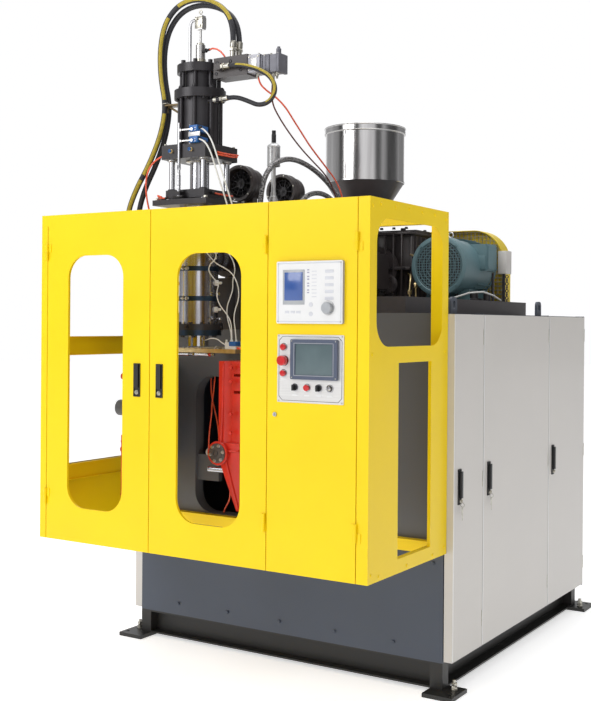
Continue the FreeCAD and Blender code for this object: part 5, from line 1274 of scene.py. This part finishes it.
def add_cabinets():
    for name, start, end in CABINET_ROWS:
        body = "cabinet_door_" + name
        y = start + 60
        dish = Shape()
        dish.block(at(880.8, y - 16, CABINET_FOOT), at(882.6, y + 16, CABINET_TOP), 0.8)
        for z0, z1 in ((CABINET_FOOT, 816), (962, CABINET_TOP)):
            dish.block(at(881, y - 16, z0), at(886, y + 16, z1), 1.2)
        for y0, y1 in ((y - 16, y - 12.6), (y + 12.6, y + 16)):
            dish.block(at(881, y0, CABINET_FOOT), at(886, y1, CABINET_TOP), 1.2)
        dish.build("cabinet_dish_" + name, BLACK, body, "black_plastic")
        lock = Shape()
        lock.turned(at(882, y, 828), X, [(0, 0), (9, 0), (9, 9), (7.5, 11), (0, 11)], 28)
        lock.block(at(892.6, y - 1, 822), at(898, y + 1, 834), 0.3)
        lock.build("cabinet_lock_" + name, ZINC, body)
        if name != "rear":
            keys = Shape()
            keys.ring(at(897, y, 812), Y, 9, 1.0, 28)
            keys.block(at(895.6, y - 7, 768), at(897.4, y + 7, 802), 0.6)
            keys.block(at(896.4, y - 2, 745), at(897.8, y + 3, 770), 0.4)
            keys.build("hanging_key_" + name, ZINC, body)
        # a white strip along each door's front edge: a painted highlight for the lit front edge of
        # the door
        edge = Shape()
        edge.block(at(880.4, start, 145), at(882.2, start + 7, 1631), 0.5)
        edge.build("cabinet_edge_highlight_" + name, PANEL, body, "cover_grey")
        hinges = Shape()
        for z in (230, 860, 1500):
            hinges.block(at(880.6, end - 5, z), at(883, end - 1, z + 70), 0.6)
        hinges.build("cabinet_hinges_" + name, ZINC, body)


def add_base():
    bolts = Shape()
    for x in (-877, 877):
        for depth in (742, 2444):
            bolts.turned(at(x, depth, 18), Z, disc(16, 4), 24)
            bolts.hexagon(at(x, depth, 22), Z, 24, 13)
            bolts.rod(at(x, depth, 35), at(x, depth, 62), 8)
            bolts.hexagon(at(x, depth, 40), Z, 24, 10)
    bolts.build("levelling_bolts", ZINC)
    welds = Shape()
    for x in (-600, -300, 0, 300, 600):
        welds.bolt(at(x, 707, 190), OUT, 13, 7)
    welds.bolt(at(-790, 707, 560), OUT, 13, 7)
    welds.bolt(at(790, 707, 560), OUT, 13, 7)
    welds.build("front_bolts", BODY, slot="body_blue")


def add_drive():
    grille = Shape()
    centre = at(MOTOR_X, MOTOR_FRONT, MOTOR_Z)
    for radius in (30, 52, 74, 96, 118, 134):
        grille.ring(centre + OUT * 1 * MM, OUT, radius, 2.0, 44)
    for index in range(-9, 10):
        reach = 14.5 * index
        half = math.sqrt(max(136 ** 2 - reach ** 2, 0))
        grille.pipe([centre + Vector((reach, -1, end)) * MM for end in (-half, half)], 1.6, 6)
        grille.pipe([centre + Vector((end, -2, reach)) * MM for end in (-half, half)], 1.6, 6)
    grille.build("fan_grille", TEAL, slot="motor_teal")
    dark = Shape()
    dark.turned(centre, OUT, disc(138, 0.6), 64)
    dark.build("fan_shadow", BLACK)
    rim = Shape()
    rim.turned(centre, OUT, [(138, 0), (164, 0), (164, 3), (158, 7), (142, 7), (138, 3)], 64)
    rim.turned(centre + Y * 92 * MM, Y, [(155, 0), (161, 0), (161, 6), (155, 8)], 64)
    rim.turned(centre + Y * 404 * MM, Y, [(155, 0), (163, 2), (163, 22), (155, 24)], 64)
    for index in range(4):
        angle = math.pi / 4 + math.pi / 2 * index
        place = centre + upright(angle) * 150 * MM + OUT * 7 * MM
        rim.bolt(place, OUT, 11, 6)
    rim.build("fan_cover_rim", TEAL, slot="motor_teal")
    fins = Shape()
    for index in range(FIN_COUNT):
        angle = 2 * math.pi * index / FIN_COUNT
        if -0.5 < math.sin(angle) < 0.75 and math.cos(angle) > 0.6:
            continue
        way = upright(angle)
        side = way.cross(Y)
        root = centre + way * 152 * MM
        tip = centre + way * 167 * MM
        section = (root + side * 2 * MM, tip + side * 1.2 * MM, tip - side * 1.2 * MM,
                   root - side * 2 * MM)
        fins.strip([[point + Y * along * MM for point in section] for along in FIN_ENDS])
    fins.build("motor_fins", TEAL, slot="motor_teal")
    eyes = Shape()
    eyes.hexagon(at(250, 2060, 2066), Z, 26, 8)
    eyes.ring(at(250, 2060, 2092), OUT, 14, 4.5, 32)
    eyes.build("motor_eye", STEEL)
    box = Shape()
    box.block(at(440, 2128, 1900), at(446, 2252, 2034), 2)
    for y in (2136, 2244):
        for z in (1908, 2026):
            box.cap_screw(at(446, y, z), X, 4, 3)
    box.block(at(318, 2112, 1900), at(432, 2120, 1980), 2)
    box.build("terminal_cover", TEAL, slot="motor_teal")
    pale = Shape()
    pale.block(at(448, 2262, 1880), at(500, 2340, 2010), 3)
    pale.build("junction_box", COVER, slot="cover_grey")
    legs = Shape()
    legs.pipe([at(452, 2180, 1724), at(452, 2180, 1880)], 7)
    legs.pipe([at(470, 2300, 1722), at(470, 2300, 1882)], 9)
    for x, y in ((330, 1960), (180, 1960), (330, 2200), (180, 2200)):
        legs.bolt(at(x, y, 1748), Z, 18, 10)
    legs.rod(at(392, 2050, 1720), at(392, 2050, 1778), 26, 28)
    legs.rod(at(468, 2060, 1720), at(468, 2060, 1765), 20, 28)
    legs.block(at(300, 2010, 1720), at(440, 2100, 1736), 3)
    legs.build("drive_small_parts", IRON)
    loop = Shape()
    loop.pipe([at(300, 1905, 1727), at(360, 1900, 1742), at(420, 1930, 1764), at(470, 2000, 1770),
               at(494, 2090, 1752), at(500, 2180, 1727)], 5)
    loop.build("motor_lead", WHITE, slot="cable_white")
    chain = Shape()
    for index in range(11):
        z = 1862 - 20 * index
        way = X if index % 2 else Y
        chain.ring(at(512, 2240, z), way, 8, 2.6, 20)
    chain.build("hanging_chain", DARK)


def add_gearbox():
    ribs = Shape()
    for x in (-384, -330, -276, -222, -168, -114, -60):
        ribs.block(at(x, 2050, 1740), at(x + 9, 2062, 2110), 2)
    for y in (2080, 2140, 2200, 2260, 2320):
        ribs.block(at(-14, y, 1740), at(-3, y + 10, 2100), 2)
    ribs.block(at(-392, 2052, 1902), at(-4, 2350, 1922), 3)
    ribs.block(at(-392, 2052, 2108), at(-4, 2350, 2122), 3)
    ribs.build("gearbox_ribs", DARK)
    bolts = Shape()
    for x in (-360, -280, -200, -120, -40):
        bolts.bolt(at(x, 2056, 1912), OUT, 16, 9)
        bolts.bolt(at(x, 2080, 2140), Z, 18, 10)
        bolts.bolt(at(x, 2326, 2140), Z, 18, 10)
    bolts.hexagon(at(-120, 2200, 2140), Z, 30, 16)
    bolts.ring(at(-300, 2200, 2172), OUT, 18, 6, 32)
    bolts.hexagon(at(-300, 2200, 2140), Z, 34, 12)
    bolts.build("gearbox_bolts", IRON)
    plate = Shape()
    plate.block(at(-5, 2170, 1990), at(-1.5, 2250, 2050), 0.6)
    plate.build("gearbox_plate", BRASS, slot="brass")
    covers = Shape()
    for x, z in ((-140, 1820), (-290, 2010)):
        covers.turned(at(x, 2060, z), OUT,
                      [(0, 0), (58, 0), (58, 12), (50, 16), (30, 16), (28, 12), (0, 12)], 40)
        for index in range(6):
            angle = math.pi * index / 3
            covers.bolt(at(x + 48 * math.cos(angle), 2046, z + 48 * math.sin(angle)), OUT, 11, 7)
    covers.build("gearbox_covers", DARK, slot="drive_dark")
    oil = Shape()
    oil.pipe([at(20, 2010, 1722), at(20, 2010, 1800), at(14, 2030, 1850), at(2, 2052, 1872),
              at(-16, 2064, 1878)], 6)
    oil.pipe([at(44, 2040, 1722), at(44, 2040, 1940), at(30, 2056, 1980), at(-6, 2070, 1990)], 6)
    oil.hexagon(at(20, 2010, 1760), Z, 22, 26)
    oil.hexagon(at(44, 2040, 1800), Z, 22, 26)
    oil.build("oil_pipes", BRASS, slot="brass")


def add_belt_guard():
    wires = Shape()

    def cut_off(reach):
        """How far a wire ends from the round corner's centre, at a reach beside it."""
        return math.sqrt(max(BELT_CORNER ** 2 - reach ** 2, 0))

    for depth in (2372, 2476):
        for x in range(-290, 431, 24):
            top = BELT_TOP
            if x < BELT_CORNER_LOW_X:
                top = BELT_CORNER_Z + cut_off(x - BELT_CORNER_LOW_X)
            if x > BELT_CORNER_HIGH_X:
                top = BELT_CORNER_Z + cut_off(x - BELT_CORNER_HIGH_X)
            wires.pipe([at(x, depth, BELT_FOOT), at(x, depth, top)], 1.3, 6)
        for z in range(BELT_FOOT + 20, BELT_TOP, 24):
            inset = 0 if z < BELT_CORNER_Z else BELT_CORNER - cut_off(z - BELT_CORNER_Z)
            wires.pipe([at(-296 + inset, depth, z), at(434 - inset, depth, z)], 1.3, 6)
    wires.build("belt_guard_mesh", ZINC)


finish_frame()
part_finishes()
set_camera()
set_stage()
add_cords()
add_head()
add_ram_details()
add_blowers()
add_hopper()
add_die_head()
add_clamp()
add_guard()
add_panels()
add_cabinets()
add_base()
add_drive()
add_gearbox()
add_belt_guard()
